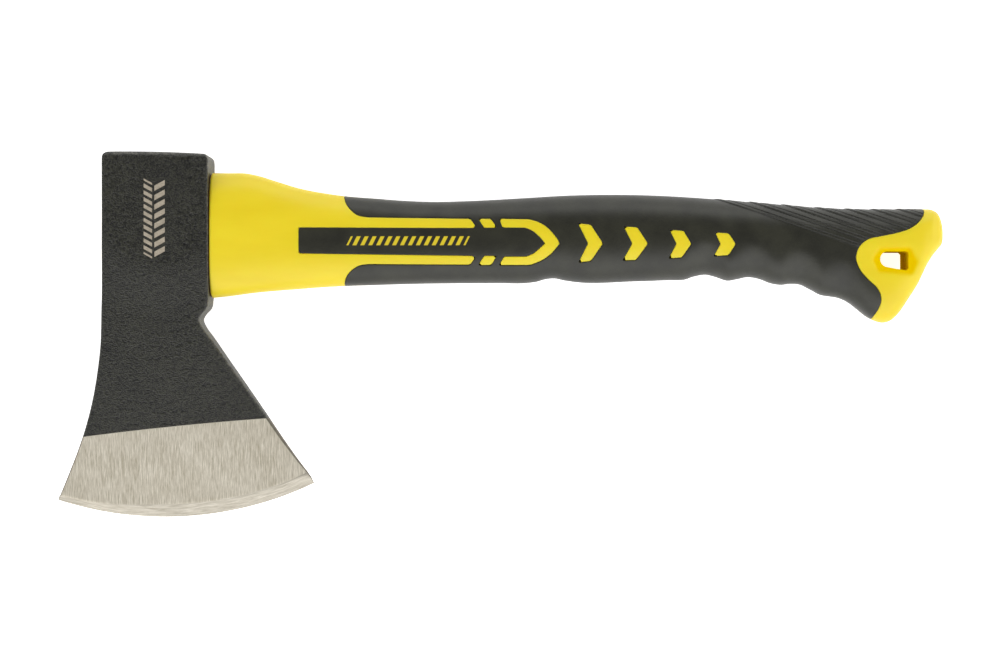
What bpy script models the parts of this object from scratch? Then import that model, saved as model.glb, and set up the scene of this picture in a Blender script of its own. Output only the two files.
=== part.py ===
"""Camping hatchet: a forged steel head bonded onto a two-shot moulded fibreglass handle.

The hatchet lies on its side. +X runs from the head to the butt, +Y from the cutting edge to
the poll and +Z up through its thickness. The origin is under the middle of its outline, on
the surface that it lies on. Shapes are drawn in millimetres about the drawing's own datum,
which sits DATUM_RISE above the middle of the outline, and half way through the thickness.
"""

import math

import bmesh
import bpy
import numpy as np
from mathutils import Matrix, Vector

MM = 0.001
OBJECT_NAME = "hatchet"

# Driving dimensions, in millimetres.
HEAD_HALF_THICKNESS = 13.0
DATUM_RISE = 0.5
GAP = 0.3
OVERRUN = 4.0
CUT_DEPTH = 20.0

EDGE_CENTRE = (-136.7, 66.8)
EDGE_RADIUS = 141.5
CHEEK_RADIUS = 50.0
POLL_BLOCK_HALF_LENGTH = 90.0
POLL_BLOCK_FOOT = -141.5
TURNED_STEPS = 96
EDGE_POINTS = 15

HEAD_LEFT = -160.7
HEAD_RIGHT = -117.8
EYE_CENTRE_Y = 39.8
EYE_HALF_HEIGHT = 22.5
EYE_HALF_WIDTH = 9.5
EYE_FLARE = 1.05
EYE_SEGMENTS = 40

TONGUE_HALF_HEIGHT = 20.3
TONGUE_HALF_WIDTH = 7.4
TONGUE_END = -160.2
TONGUE_ROOT = 12.0
RESIN_SINK = 0.7
RESIN_FLARE = EYE_FLARE - 0.005

CORE_CENTRE_Y = 38.6
CORE_HALF_HEIGHT = 9.0
CORE_HALF_WIDTH = 4.5
CORE_START = -160.0
CORE_END = 118.0

HANDLE_START = HEAD_RIGHT + GAP
HANDLE_END = 179.8
SECTION_SEGMENTS = 28
PLAIN_END = 66.0
PLAIN_STEP = 9.5
GROOVED_START = 70.0
GROOVED_END = 172.0
GROOVED_STEP = 4.8
TIP_START = 174.0
TIP_STATIONS = 5
SLEEVE_WALL = 2.5
SLEEVE_START = -97.0
SLEEVE_END = 177.0

HOLE_CENTRE = (156.2, 30.0)
HOLE_RADIUS = 3.2
HOLE_STRAIGHT_END = [(163.9, 25.5), (164.7, 26.2), (164.7, 32.4), (163.9, 33.2)]
DISH_CENTRE = (160.5, 30.0)
DISH_RADII = (13.5, 7.5, 2.6)
DISH_HEIGHT = 12.1

# Outlines of the head, from the poll round by the cutting edge and back up the front.
POLL_LINE = [(HEAD_LEFT, 72.6), (-159.4, 73.5), (-156.0, 73.6), (-121.0, 72.8), (-118.8, 72.3),
             (HEAD_RIGHT, 71.2)]
HEAD_NOTCH = [(HEAD_RIGHT, 12.5), (-119.2, 9.4), (-121.2, 7.4), (-121.6, 4.9), (-119.9, 1.8)]
HEAD_HEEL = [(-109.5, -12.4), (-89.0, -41.9), (-77.4, -58.1), (-76.2, -61.0)]
HEAD_TOE = [(-179.9, -67.4), (-177.4, -61.4), (-172.2, -48.3), (-168.0, -35.3), (-164.8, -22.2),
            (-162.8, -9.2), (-161.6, 3.9), (-160.9, 20.0)]

# Half thickness of the head against the distance from the cutting edge's centre.
BLADE_TAPER = [(58.0, 11.4), (68.0, 9.6), (80.0, 7.8), (100.0, 5.4), (118.0, 3.4),
               (136.3, 1.5), (EDGE_RADIUS, 0.15)]
# Chamfer along the poll, as (height over the middle, drawing Y), run on past the cheek.
POLL_CHAMFER = [(11.8, 74.5), (HEAD_HALF_THICKNESS, 71.9), (15.0, 67.6)]

# The handle's silhouette seen from the side: its upper edge, then its lower edge.
HANDLE_TOP = [(-118.0, 65.3), (-103.0, 64.9), (-92.0, 61.9), (-81.5, 59.1), (-69.5, 56.9),
              (-51.0, 55.0), (-38.0, 54.0), (-26.0, 53.7), (-14.0, 54.0), (10.0, 55.2),
              (26.0, 56.2), (43.0, 56.55), (59.0, 56.35), (75.0, 55.6), (100.0, 53.7),
              (127.0, 51.3), (147.0, 50.6), (165.0, 50.6), (172.5, 50.6), (176.0, 50.1),
              (178.0, 48.6), (179.2, 46.0), (HANDLE_END, 43.0)]
HANDLE_BOTTOM = [(-118.0, 14.4), (-102.0, 16.3), (-81.7, 18.1), (-63.4, 19.2), (-39.0, 20.1),
                 (0.0, 20.5), (10.3, 20.5), (18.0, 22.1), (22.0, 22.4), (30.0, 21.0),
                 (54.9, 21.2), (70.0, 21.7), (75.5, 22.0), (83.7, 23.9), (92.5, 21.5),
                 (100.5, 22.9), (105.5, 22.2), (114.0, 19.8), (119.5, 20.2), (125.0, 18.7),
                 (130.5, 15.7), (137.5, 14.5), (141.5, 12.8), (149.0, 7.1), (153.0, 5.0),
                 (156.5, 4.5), (160.5, 6.7), (165.8, 13.9), (170.0, 20.8), (172.5, 26.6),
                 (176.0, 32.0), (HANDLE_END, 36.8)]
HANDLE_HALF_THICKNESS = [(-118.0, 12.2), (-95.0, 11.6), (-60.0, 11.2), (-26.0, 11.5), (10.0, 12.3),
                         (50.0, 12.8), (90.0, 13.0), (120.0, 12.8), (145.0, 12.3), (165.0, 12.0),
                         (175.0, 11.2), (HANDLE_END, 9.0)]
HANDLE_SQUARENESS = [(-118.0, 2.6), (-60.0, 2.5), (0.0, 2.3), (100.0, 2.3), (150.0, 2.7),
                     (HANDLE_END, 2.8)]

# The black sleeve's outline: both wings, the strip between the stripes, and the butt's curve.
UPPER_WING = [(-63.6, 70.0), (-63.4, 55.9), (-62.2, 52.6), (-60.0, 49.6), (-57.2, 47.7),
              (-54.0, 46.9), (-12.2, 46.4), (-10.2, 44.6), (-10.9, 42.6)]
MIDDLE_STRIP = [(-81.4, 42.8), (-81.4, 32.3)]
LOWER_WING = [(-12.0, 31.3), (-10.2, 30.0), (-12.2, 27.7), (-54.0, 28.0), (-57.4, 27.3),
              (-60.4, 25.4), (-62.6, 22.4), (-63.4, 19.0), (-63.6, 8.0)]
BUTT_CURVE = [(150.6, 0.0), (150.8, 6.5), (152.9, 10.5), (153.6, 14.5), (151.6, 18.6),
              (147.6, 22.3), (144.6, 26.2), (143.4, 31.5), (145.2, 35.5), (149.6, 38.4),
              (158.0, 40.2), (166.0, 42.8), (169.8, 46.0), (171.6, 49.2), (171.8, 70.0)]

# Marks that show yellow through the sleeve's windows. A chevron is the place of its back
# corner, how far its point leads, the length of its arm and half its height; the values after
# them shape all four.
UPPER_SLASH = [(-8.3, 46.4), (-3.8, 46.4), (-1.9, 43.4), (-2.4, 42.7), (-6.7, 42.7), (-8.5, 45.6)]
LOWER_SLASH = [(-6.9, 31.2), (-2.4, 31.2), (-1.8, 30.3), (-3.8, 27.6), (-8.2, 27.6), (-8.6, 28.6)]
HOOK = [(0.2, 46.3), (12.0, 46.0), (18.0, 43.4), (22.4, 38.9), (23.9, 36.4), (20.8, 32.4),
        (16.8, 29.4), (13.1, 27.6), (0.2, 27.6), (1.3, 30.9), (9.9, 30.9), (12.8, 31.8),
        (15.9, 34.1), (18.0, 36.3), (16.4, 38.4), (13.6, 40.9), (10.7, 42.2), (8.0, 42.6),
        (1.3, 42.7), (-0.2, 45.3)]
CHEVRONS = [(31.4, 7.8, 5.0, 10.0), (49.7, 6.7, 5.3, 9.3), (68.2, 5.7, 5.3, 8.5),
            (86.3, 4.7, 5.2, 7.6)]
CHEVRON_AXIS_Y = 36.2
CHEVRON_NOTCH = 3.2
CHEVRON_TOP = 0.8
CHEVRON_BOTTOM = 0.75
CHEVRON_SLOPE = 0.4
CHEVRON_POINT = 0.64

SMALL_MERGE = 0.00001


def clear_scene():
    """Removes every object that the file already holds."""
    for old in list(bpy.data.objects):
        bpy.data.objects.remove(old, do_unlink=True)


def new_collection(name):
    collection = bpy.data.collections.new(name)
    bpy.context.scene.collection.children.link(collection)
    return collection


def drawn(x, y, z):
    """World position, in metres, of a point given in the drawing's millimetres."""
    return Vector((x * MM, (y + DATUM_RISE) * MM, (z + HEAD_HALF_THICKNESS) * MM))


def along(knots, x):
    """Smooth curve through hand-picked (x, value) knots: a cubic from each knot to the next."""
    at, value = np.array(knots, float).T
    slope = np.gradient(value, at)
    i = np.clip(np.searchsorted(at, x) - 1, 0, len(at) - 2)
    width = at[i + 1] - at[i]
    t = (x - at[i]) / width
    start = (1 + 2 * t) * (1 - t) ** 2 * value[i] + t * (1 - t) ** 2 * width * slope[i]
    end = t**2 * (3 - 2 * t) * value[i + 1] + t**2 * (t - 1) * width * slope[i + 1]
    return start + end


def as_cutter(obj):
    """Hides an object that only cuts or joins others."""
    obj.hide_render = True
    obj.display_type = "WIRE"
    return obj


def welded(mesh):
    """Closes a mesh whose caps lie loose on its sides, and turns its faces outwards."""
    shape = bmesh.new()
    shape.from_mesh(mesh)
    bmesh.ops.remove_doubles(shape, verts=shape.verts, dist=SMALL_MERGE)
    bmesh.ops.recalc_face_normals(shape, faces=shape.faces)
    shape.to_mesh(mesh)
    shape.free()


def outline_solid(name, loops, half_depth, parts):
    """Closed outlines in XY, a loop inside another being a hole, made solid both ways in Z."""
    curve = bpy.data.curves.new(name + "_outline", "CURVE")
    curve.dimensions = "2D"
    curve.fill_mode = "BOTH"
    curve.extrude = half_depth * MM
    for loop in loops:
        spline = curve.splines.new("POLY")
        spline.points.add(len(loop) - 1)
        spline.use_cyclic_u = True
        for point, (x, y) in zip(spline.points, loop):
            place = drawn(x, y, 0.0)
            point.co = (place.x, place.y, 0.0, 1.0)
    drawing = bpy.data.objects.new(name + "_drawing", curve)
    parts.objects.link(drawing)
    drawing.location.z = HEAD_HALF_THICKNESS * MM
    bpy.context.view_layer.update()
    evaluated = drawing.evaluated_get(bpy.context.evaluated_depsgraph_get())
    mesh = bpy.data.meshes.new_from_object(evaluated)
    welded(mesh)
    solid = bpy.data.objects.new(name, mesh)
    solid.matrix_world = drawing.matrix_world.copy()
    parts.objects.link(solid)
    bpy.data.objects.remove(drawing, do_unlink=True)
    return solid


def oval_bar(name, start, end, centre_y, half_height, half_width, flare, parts):
    """Oval bar along X from start to end; its start is flare times its end in size."""
    mesh = bpy.data.meshes.new(name)
    shape = bmesh.new()
    turned = Matrix.Rotation(math.radians(90.0), 4, "Y")
    bmesh.ops.create_cone(shape, cap_ends=True, segments=EYE_SEGMENTS, radius1=flare, radius2=1.0,
                          depth=1.0, matrix=turned)
    size = Vector(((end - start) * MM, half_height * MM, half_width * MM))
    bmesh.ops.scale(shape, vec=size, verts=shape.verts)
    shape.to_mesh(mesh)
    shape.free()
    bar = bpy.data.objects.new(name, mesh)
    bar.location = drawn((start + end) / 2, centre_y, 0.0)
    parts.objects.link(bar)
    return bar


def handle_loft(name, start, end, inset, parts):
    """The handle's outer shape between two places, every section shrunk by inset.

    Each section is a superellipse between the upper and lower silhouettes. The stations
    close up towards the butt, where the outline turns quickly, and are the same for every
    loft, so that the walls between two lofts are even.
    """
    plain = np.arange(HANDLE_START, PLAIN_END, PLAIN_STEP)
    grooved = np.arange(GROOVED_START, GROOVED_END, GROOVED_STEP)
    tip = np.linspace(TIP_START, HANDLE_END, TIP_STATIONS)
    stations = np.concatenate([plain, grooved, tip])
    stations = stations[(stations >= start) & (stations <= end)]
    top = along(HANDLE_TOP, stations) - inset
    bottom = along(HANDLE_BOTTOM, stations) + inset
    half_thickness = along(HANDLE_HALF_THICKNESS, stations) - inset
    power = 2.0 / along(HANDLE_SQUARENESS, stations)
    turn = np.linspace(0.0, 2.0 * math.pi, SECTION_SEGMENTS, endpoint=False)
    shape = bmesh.new()
    rings = []
    for i, x in enumerate(stations):
        up = np.sign(np.cos(turn)) * np.abs(np.cos(turn)) ** power[i]
        out = np.sign(np.sin(turn)) * np.abs(np.sin(turn)) ** power[i]
        y = (top[i] + bottom[i]) / 2 + (top[i] - bottom[i]) / 2 * up
        z = half_thickness[i] * out
        rings.append([shape.verts.new(drawn(x, *yz)) for yz in zip(y, z)])
    for near, far in zip(rings, rings[1:]):
        for k in range(SECTION_SEGMENTS):
            after = (k + 1) % SECTION_SEGMENTS
            shape.faces.new((near[k], near[after], far[after], far[k]))
    shape.faces.new(rings[0])
    shape.faces.new(rings[-1])
    bmesh.ops.recalc_face_normals(shape, faces=shape.faces)
    mesh = bpy.data.meshes.new(name)
    shape.to_mesh(mesh)
    shape.free()
    loft = bpy.data.objects.new(name, mesh)
    parts.objects.link(loft)
    return loft


def moved_outwards(loop, distance):
    """A closed outline with every side moved outwards by distance, its corners mitred."""
    points = np.array(loop, float)
    side = np.roll(points, -1, axis=0) - points
    side /= np.linalg.norm(side, axis=1)[:, None]
    following = np.roll(points, -1, axis=0)
    area = np.sum(points[:, 0] * following[:, 1] - points[:, 1] * following[:, 0])
    normal = np.sign(area) * np.column_stack([side[:, 1], -side[:, 0]])
    before = np.roll(normal, 1, axis=0)
    corner = (normal + before) / (1.0 + np.sum(normal * before, axis=1))[:, None]
    return [tuple(point) for point in points + distance * corner]


def arc(centre, radius, start, end, count):
    """Points on a circle from one angle to another, both in degrees."""
    angles = np.radians(np.linspace(start, end, count))
    return [(centre[0] + radius * math.cos(a), centre[1] + radius * math.sin(a)) for a in angles]


def chevron(left, reach, arm, half_height):
    """Outline of a chevron that points to +X."""
    top = CHEVRON_AXIS_Y + half_height * CHEVRON_TOP
    bottom = CHEVRON_AXIS_Y - half_height * CHEVRON_BOTTOM
    right = left + arm
    return [(left, top), (right, top - CHEVRON_SLOPE), (right + reach * CHEVRON_POINT, CHEVRON_AXIS_Y),
            (right, bottom + CHEVRON_SLOPE), (left, bottom), (left + CHEVRON_NOTCH, CHEVRON_AXIS_Y)]


def windows():
    """Every window through the sleeve, as a list of outlines."""
    marks = [UPPER_SLASH, LOWER_SLASH, HOOK]
    return marks + [chevron(*sizes) for sizes in CHEVRONS]


def boolean(obj, other, operation):
    cut = obj.modifiers.new(other.name, "BOOLEAN")
    cut.operation = operation
    cut.solver = "EXACT"
    cut.object = other


def finish(obj, name, colour, roughness, metallic):
    """Gives a part its name and its own material."""
    obj.name = name
    obj.data.name = name
    material = bpy.data.materials.new(name)
    material.use_nodes = True
    shader = material.node_tree.nodes["Principled BSDF"]
    shader.inputs["Base Color"].default_value = (*colour, 1.0)
    shader.inputs["Roughness"].default_value = roughness
    shader.inputs["Metallic"].default_value = metallic
    obj.data.materials.clear()
    obj.data.materials.append(material)
    return obj


def edge_angle(point):
    """Direction of a point from the cutting edge's centre, in degrees."""
    return math.degrees(math.atan2(point[1] - EDGE_CENTRE[1], point[0] - EDGE_CENTRE[0]))


def blade_envelope(cutters):
    """Turned solid whose thickness falls with the distance from the edge's centre."""
    profile = [(0.0, HEAD_HALF_THICKNESS), (CHEEK_RADIUS, HEAD_HALF_THICKNESS)] + BLADE_TAPER
    lower = [(radius, -half) for radius, half in reversed(profile)]
    mesh = bpy.data.meshes.new("blade_envelope")
    points = [(radius * MM, 0.0, height * MM) for radius, height in profile + lower]
    edges = [(i, i + 1) for i in range(len(points) - 1)]
    mesh.from_pydata(points, edges, [])
    envelope = bpy.data.objects.new("blade_envelope", mesh)
    envelope.location = drawn(*EDGE_CENTRE, 0.0)
    turned = envelope.modifiers.new("turned", "SCREW")
    turned.axis = "Z"
    turned.steps = TURNED_STEPS
    turned.render_steps = TURNED_STEPS
    turned.use_merge_vertices = True
    turned.merge_threshold = SMALL_MERGE
    cutters.objects.link(envelope)
    return as_cutter(envelope)


def head_outline():
    edge = arc(EDGE_CENTRE, EDGE_RADIUS, edge_angle(HEAD_HEEL[-1]), edge_angle(HEAD_TOE[0]),
               EDGE_POINTS)
    return POLL_LINE + HEAD_NOTCH + HEAD_HEEL + edge[1:-1] + HEAD_TOE


def poll_block(cutters):
    """Prism along X that leaves a narrow chamfer along both long edges of the poll."""
    right = POLL_CHAMFER + [(POLL_CHAMFER[-1][0], POLL_BLOCK_FOOT)]
    left = [(-height, y) for height, y in reversed(right)]
    block = outline_solid("poll_block", [right + left], POLL_BLOCK_HALF_LENGTH, cutters)
    block.rotation_euler.y = math.radians(90.0)
    block.location.x = (HEAD_LEFT + HEAD_RIGHT) / 2 * MM
    return as_cutter(block)


def make_head(parts, cutters):
    """Forged head: its outline, thinned towards the edge, with the eye right through it."""
    head = outline_solid("axe_head", [head_outline()], HEAD_HALF_THICKNESS, parts)
    eye = oval_bar("eye", HEAD_LEFT - OVERRUN, HEAD_RIGHT + OVERRUN, EYE_CENTRE_Y, EYE_HALF_HEIGHT,
                   EYE_HALF_WIDTH, EYE_FLARE, cutters)
    boolean(head, blade_envelope(cutters), "INTERSECT")
    boolean(head, poll_block(cutters), "INTERSECT")
    boolean(head, as_cutter(eye), "DIFFERENCE")
    return finish(head, "axe_head", (0.03, 0.031, 0.028), 0.45, 0.0)


def make_core(parts):
    """Pultruded fibreglass bar, from the top of the eye to the last finger groove."""
    core = oval_bar("core", CORE_START, CORE_END, CORE_CENTRE_Y, CORE_HALF_HEIGHT,
                    CORE_HALF_WIDTH, 1.0, parts)
    return finish(core, "fibreglass_core", (0.62, 0.56, 0.36), 0.5, 0.0)


def make_resin(parts, cutters):
    """Epoxy that fills the eye round the handle's tongue."""
    resin = oval_bar("resin", HEAD_LEFT + RESIN_SINK, HEAD_RIGHT - GAP, EYE_CENTRE_Y,
                     EYE_HALF_HEIGHT - GAP, EYE_HALF_WIDTH - GAP, RESIN_FLARE, parts)
    room = oval_bar("tongue_room", HEAD_LEFT - OVERRUN, HEAD_RIGHT + OVERRUN, EYE_CENTRE_Y,
                    TONGUE_HALF_HEIGHT + GAP, TONGUE_HALF_WIDTH + GAP, 1.0, cutters)
    boolean(resin, as_cutter(room), "DIFFERENCE")
    return finish(resin, "eye_resin", (0.25, 0.12, 0.03), 0.25, 0.0)


def sleeve_outline():
    return UPPER_WING + MIDDLE_STRIP + LOWER_WING + BUTT_CURVE


def make_grip(parts, cutters):
    """Soft black sleeve moulded over the handle, with windows for the yellow marks."""
    inside = handle_loft("sleeve_inside", SLEEVE_START, SLEEVE_END, SLEEVE_WALL - GAP, cutters)
    region = outline_solid("sleeve_region", [sleeve_outline()] + windows(), CUT_DEPTH, cutters)
    grip = handle_loft("grip_overmould", HANDLE_START, HANDLE_END, 0.0, parts)
    boolean(grip, as_cutter(region), "INTERSECT")
    boolean(grip, as_cutter(inside), "DIFFERENCE")
    return finish(grip, "grip_overmould", (0.045, 0.044, 0.038), 0.55, 0.0)


def hang_hole(cutters):
    """D-shaped hole through the butt: a round end, and a straight end square to the handle."""
    loop = arc(HOLE_CENTRE, HOLE_RADIUS, 95.0, 255.0, 11) + HOLE_STRAIGHT_END
    return as_cutter(outline_solid("hang_hole", [loop], CUT_DEPTH, cutters))


def dish(side, cutters):
    """Shallow oval dish round the hang hole, in one face of the butt."""
    mesh = bpy.data.meshes.new("dish")
    shape = bmesh.new()
    bmesh.ops.create_uvsphere(shape, u_segments=20, v_segments=10, radius=1.0)
    bmesh.ops.scale(shape, vec=Vector(DISH_RADII) * MM, verts=shape.verts)
    shape.to_mesh(mesh)
    shape.free()
    bowl = bpy.data.objects.new("dish", mesh)
    bowl.location = drawn(*DISH_CENTRE, side * DISH_HEIGHT)
    cutters.objects.link(bowl)
    return as_cutter(bowl)


def make_jacket(parts, cutters):
    """Yellow first shot: tongue, collar, the body under the sleeve, raised marks and butt."""
    jacket = handle_loft("handle_jacket", HANDLE_START, HANDLE_END, 0.0, parts)
    grown = moved_outwards(sleeve_outline(), GAP)
    raised = [moved_outwards(loop, -GAP) for loop in windows()]
    sleeve_room = outline_solid("sleeve_room", [grown] + raised, CUT_DEPTH, cutters)
    body = handle_loft("jacket_body", SLEEVE_START, SLEEVE_END, SLEEVE_WALL, cutters)
    boolean(sleeve_room, as_cutter(body), "DIFFERENCE")
    tongue = oval_bar("tongue", TONGUE_END, HEAD_RIGHT + TONGUE_ROOT, EYE_CENTRE_Y, TONGUE_HALF_HEIGHT,
                      TONGUE_HALF_WIDTH, 1.0, cutters)
    channel = oval_bar("core_channel", TONGUE_END - OVERRUN, CORE_END + GAP, CORE_CENTRE_Y,
                       CORE_HALF_HEIGHT + GAP, CORE_HALF_WIDTH + GAP, 1.0, cutters)
    boolean(jacket, as_cutter(sleeve_room), "DIFFERENCE")
    boolean(jacket, as_cutter(tongue), "UNION")
    boolean(jacket, as_cutter(channel), "DIFFERENCE")
    boolean(jacket, hang_hole(cutters), "DIFFERENCE")
    for side in (-1.0, 1.0):
        boolean(jacket, dish(side, cutters), "DIFFERENCE")
    return finish(jacket, "handle_jacket", (0.85, 0.67, 0.03), 0.4, 0.0)


clear_scene()
hatchet_parts = new_collection(OBJECT_NAME)
hatchet_cutters = new_collection(OBJECT_NAME + "_cutters")
make_head(hatchet_parts, hatchet_cutters)
make_core(hatchet_parts)
make_resin(hatchet_parts, hatchet_cutters)
make_jacket(hatchet_parts, hatchet_cutters)
make_grip(hatchet_parts, hatchet_cutters)
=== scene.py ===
import math

import bmesh
import bpy
import numpy as np
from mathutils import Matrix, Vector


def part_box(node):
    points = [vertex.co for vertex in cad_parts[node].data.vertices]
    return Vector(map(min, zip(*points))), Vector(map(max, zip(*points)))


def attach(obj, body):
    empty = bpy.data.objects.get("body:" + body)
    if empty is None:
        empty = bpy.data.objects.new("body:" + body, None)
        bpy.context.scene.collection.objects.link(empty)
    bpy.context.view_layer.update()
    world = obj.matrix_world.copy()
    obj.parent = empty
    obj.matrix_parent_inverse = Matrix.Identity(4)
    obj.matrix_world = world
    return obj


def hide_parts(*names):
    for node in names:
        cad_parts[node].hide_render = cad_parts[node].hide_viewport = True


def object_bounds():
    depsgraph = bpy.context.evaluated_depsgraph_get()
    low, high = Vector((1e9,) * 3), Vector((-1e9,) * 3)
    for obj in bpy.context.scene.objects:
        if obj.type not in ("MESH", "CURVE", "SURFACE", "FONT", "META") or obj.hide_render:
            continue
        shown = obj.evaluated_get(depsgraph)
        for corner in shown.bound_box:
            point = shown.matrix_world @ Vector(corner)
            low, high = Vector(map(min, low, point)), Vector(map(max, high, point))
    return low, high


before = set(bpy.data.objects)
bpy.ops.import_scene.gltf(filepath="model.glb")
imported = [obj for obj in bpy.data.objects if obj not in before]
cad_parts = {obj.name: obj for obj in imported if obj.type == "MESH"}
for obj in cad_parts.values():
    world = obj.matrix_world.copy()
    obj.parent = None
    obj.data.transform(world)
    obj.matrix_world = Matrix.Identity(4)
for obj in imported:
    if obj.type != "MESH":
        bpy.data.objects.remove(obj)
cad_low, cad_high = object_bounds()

# THE FORGED HEAD
# Drop-forged carbon steel: a flat-cheeked block round the eye, thinning to a fanned blade.
# It is powder coated in a fine black wrinkle, then the lower part is ground bare across the
# edge and the edge itself is honed along its length.

MM = 0.001
middle_z = (cad_low.z + cad_high.z) / 2
POLL_TOP = 73.6
drawing_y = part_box("axe_head")[1].y - POLL_TOP * MM

HEAD_LEFT = -160.7
HEAD_RIGHT = -117.9
EDGE_CENTRE = np.array([-136.7, 66.8])
EDGE_RADIUS = 141.5
EDGE_HALF_THICKNESS = 0.06
TOE_ANGLE = math.radians(-17.95)
HEEL_ANGLE = math.radians(25.45)
FACE_COLUMNS = 96
HEAD_ROWS = 210
BEVEL_ROWS = 7

# Half thickness against the distance from the centre that the cutting edge is drawn from.
CHEEK_TAPER = [(0.0, 13.0), (30.0, 13.0), (36.0, 12.95), (42.0, 12.55), (48.0, 11.65),
               (56.0, 10.35), (68.0, 9.1), (80.0, 7.8), (100.0, 5.4), (118.0, 3.4), (136.3, 1.4),
               (141.5, 0.9)]
# Where the honed bevel starts: distance from that centre against degrees round it.
BEVEL_START = [(-18.2, 139.3), (-15.5, 139.0), (-11.0, 138.3), (-6.0, 137.4), (0.0, 136.3),
               (8.0, 136.1), (15.0, 136.5), (21.0, 136.3), (24.0, 136.9), (26.0, 138.2)]
# Front (left) and back (right) outlines of the head as (height, place along the handle).
FRONT_OUTLINE = [(-68.4, -180.1), (-65.9, -179.4), (-61.4, -177.6), (-54.8, -174.9),
                 (-48.3, -172.3),
                 (-41.8, -170.0), (-35.3, -168.0), (-28.8, -166.3), (-22.2, -164.9), (-15.7, -163.8),
                 (-9.2, -162.9), (-2.7, -162.2), (3.9, -161.7), (10.4, -161.3), (21.8, -160.9),
                 (38.0, HEAD_LEFT), (POLL_TOP, HEAD_LEFT)]
BACK_OUTLINE = [(-61.4, -76.0), (-60.2, -76.3), (-58.1, -77.4), (-51.6, -82.2), (-41.8, -89.1),
                (-32.0, -95.7), (-22.2, -102.5), (-12.4, -109.4), (-1.8, -116.9), (2.7, -120.4),
                (5.9, -121.7), (8.0, -120.6), (10.0, -118.8), (13.7, -118.0), (20.0, HEAD_RIGHT),
                (POLL_TOP, HEAD_RIGHT)]
# Rows over the top of the poll: drop below its crown, half thickness, and how far the ends
# are drawn in, which at the back is less.
POLL_ROWS = [(0.0, 0.0, 3.2), (0.0, 3.5, 2.4), (0.03, 7.0, 2.4), (0.1, 10.0, 2.3),
             (0.22, 11.3, 1.9), (0.5, 11.9, 1.3), (0.95, 12.35, 0.7), (1.5, 12.7, 0.3),
             (2.1, 12.9, 0.1)]
POLL_SLOPE = 0.9
POLL_CROWN = 0.35
CROWN_POWER = 0.8
BACK_INSET = 0.7

# The cheek starts this far below the crown; its rows bow from this share of the way down, and
# its half thickness falls off towards both ends wherever the head is still thick.
CHEEK_DROP = 2.9
BOW_START = 0.35
BOW_POWER = 1.3
END_FALL = 0.22
THICK_ENOUGH = (6.0, 12.0)

# The section's corners: their rounding, how much it grows below the eye at the front and at
# the back, and the forging draft of the sides there.
CORNER_ROUNDING = 0.75
FRONT_GROWTH = 0.1
BACK_GROWTH = 0.8
LARGEST_SHARE = 0.5
DRAFT = math.tan(math.radians(3.5))
BELOW_EYE = (12.0, -8.0)
CORNER_TURNS = np.radians([0.0, 25.0, 50.0, 72.0, 90.0])
SIDE_STEPS = np.array([0.66, 0.33])


def along(knots, at):
    """Smooth curve through listed (place, value) knots: a cubic between neighbours,
    whose slope at each knot is that of the line through the knots beside it."""
    place, value = np.array(knots, float).T
    slope = np.gradient(value, place)
    i = np.clip(np.searchsorted(place, at) - 1, 0, len(place) - 2)
    width = place[i + 1] - place[i]
    t = np.clip((at - place[i]) / width, 0.0, 1.0)
    first = (1 + 2 * t) * (1 - t) ** 2 * value[i] + t * (1 - t) ** 2 * width * slope[i]
    second = t**2 * (3 - 2 * t) * value[i + 1] + t**2 * (t - 1) * width * slope[i + 1]
    return first + second


def smooth(low, high, value):
    """0 below low, 1 above high, and an S curve between them."""
    t = np.clip((value - low) / (high - low), 0.0, 1.0)
    return t * t * (3 - 2 * t)


def new_piece(name, points, faces):
    """Mesh object from drawing points (mm, from the middle plane) and an (m, 3 or 4) array of
    corners. Doubled points are welded, and the faces that this empties are dropped."""
    place = points * MM + np.array([0.0, drawing_y, middle_z])
    mesh = bpy.data.meshes.new(name)
    mesh.vertices.add(len(place))
    mesh.vertices.foreach_set("co", place.astype(np.float32).ravel())
    mesh.loops.add(faces.size)
    mesh.loops.foreach_set("vertex_index", faces.astype(np.int32).ravel())
    mesh.polygons.add(len(faces))
    mesh.polygons.foreach_set("loop_start", np.arange(0, faces.size, faces.shape[1], dtype=np.int32))
    mesh.update(calc_edges=True)
    shape = bmesh.new()
    shape.from_mesh(mesh)
    bmesh.ops.remove_doubles(shape, verts=shape.verts, dist=2e-6)
    bmesh.ops.dissolve_degenerate(shape, edges=shape.edges, dist=1e-6)
    if shape.calc_volume(signed=True) < 0:
        bmesh.ops.reverse_faces(shape, faces=shape.faces)
    shape.to_mesh(mesh)
    shape.free()
    mesh.shade_smooth()
    piece = bpy.data.objects.new(name, mesh)
    bpy.context.scene.collection.objects.link(piece)
    return piece


def grid_faces(rows, columns, wrap):
    """Corners of the quads of a grid of points; wrap joins the last column to the first."""
    index = np.arange(rows * columns).reshape(rows, columns)
    across = np.roll(index, -1, axis=1) if wrap else index[:, 1:]
    near = index if wrap else index[:, :-1]
    quads = np.stack([near[:-1], across[:-1], across[1:], near[1:]], axis=-1)
    return quads.reshape(-1, 4)


def ringed_piece(name, rings):
    """Piece skinned over rings of points, each of them joined to the next."""
    rings = np.array(rings)
    return new_piece(name, rings.reshape(-1, 3), grid_faces(*rings.shape[:2], wrap=True))


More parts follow.
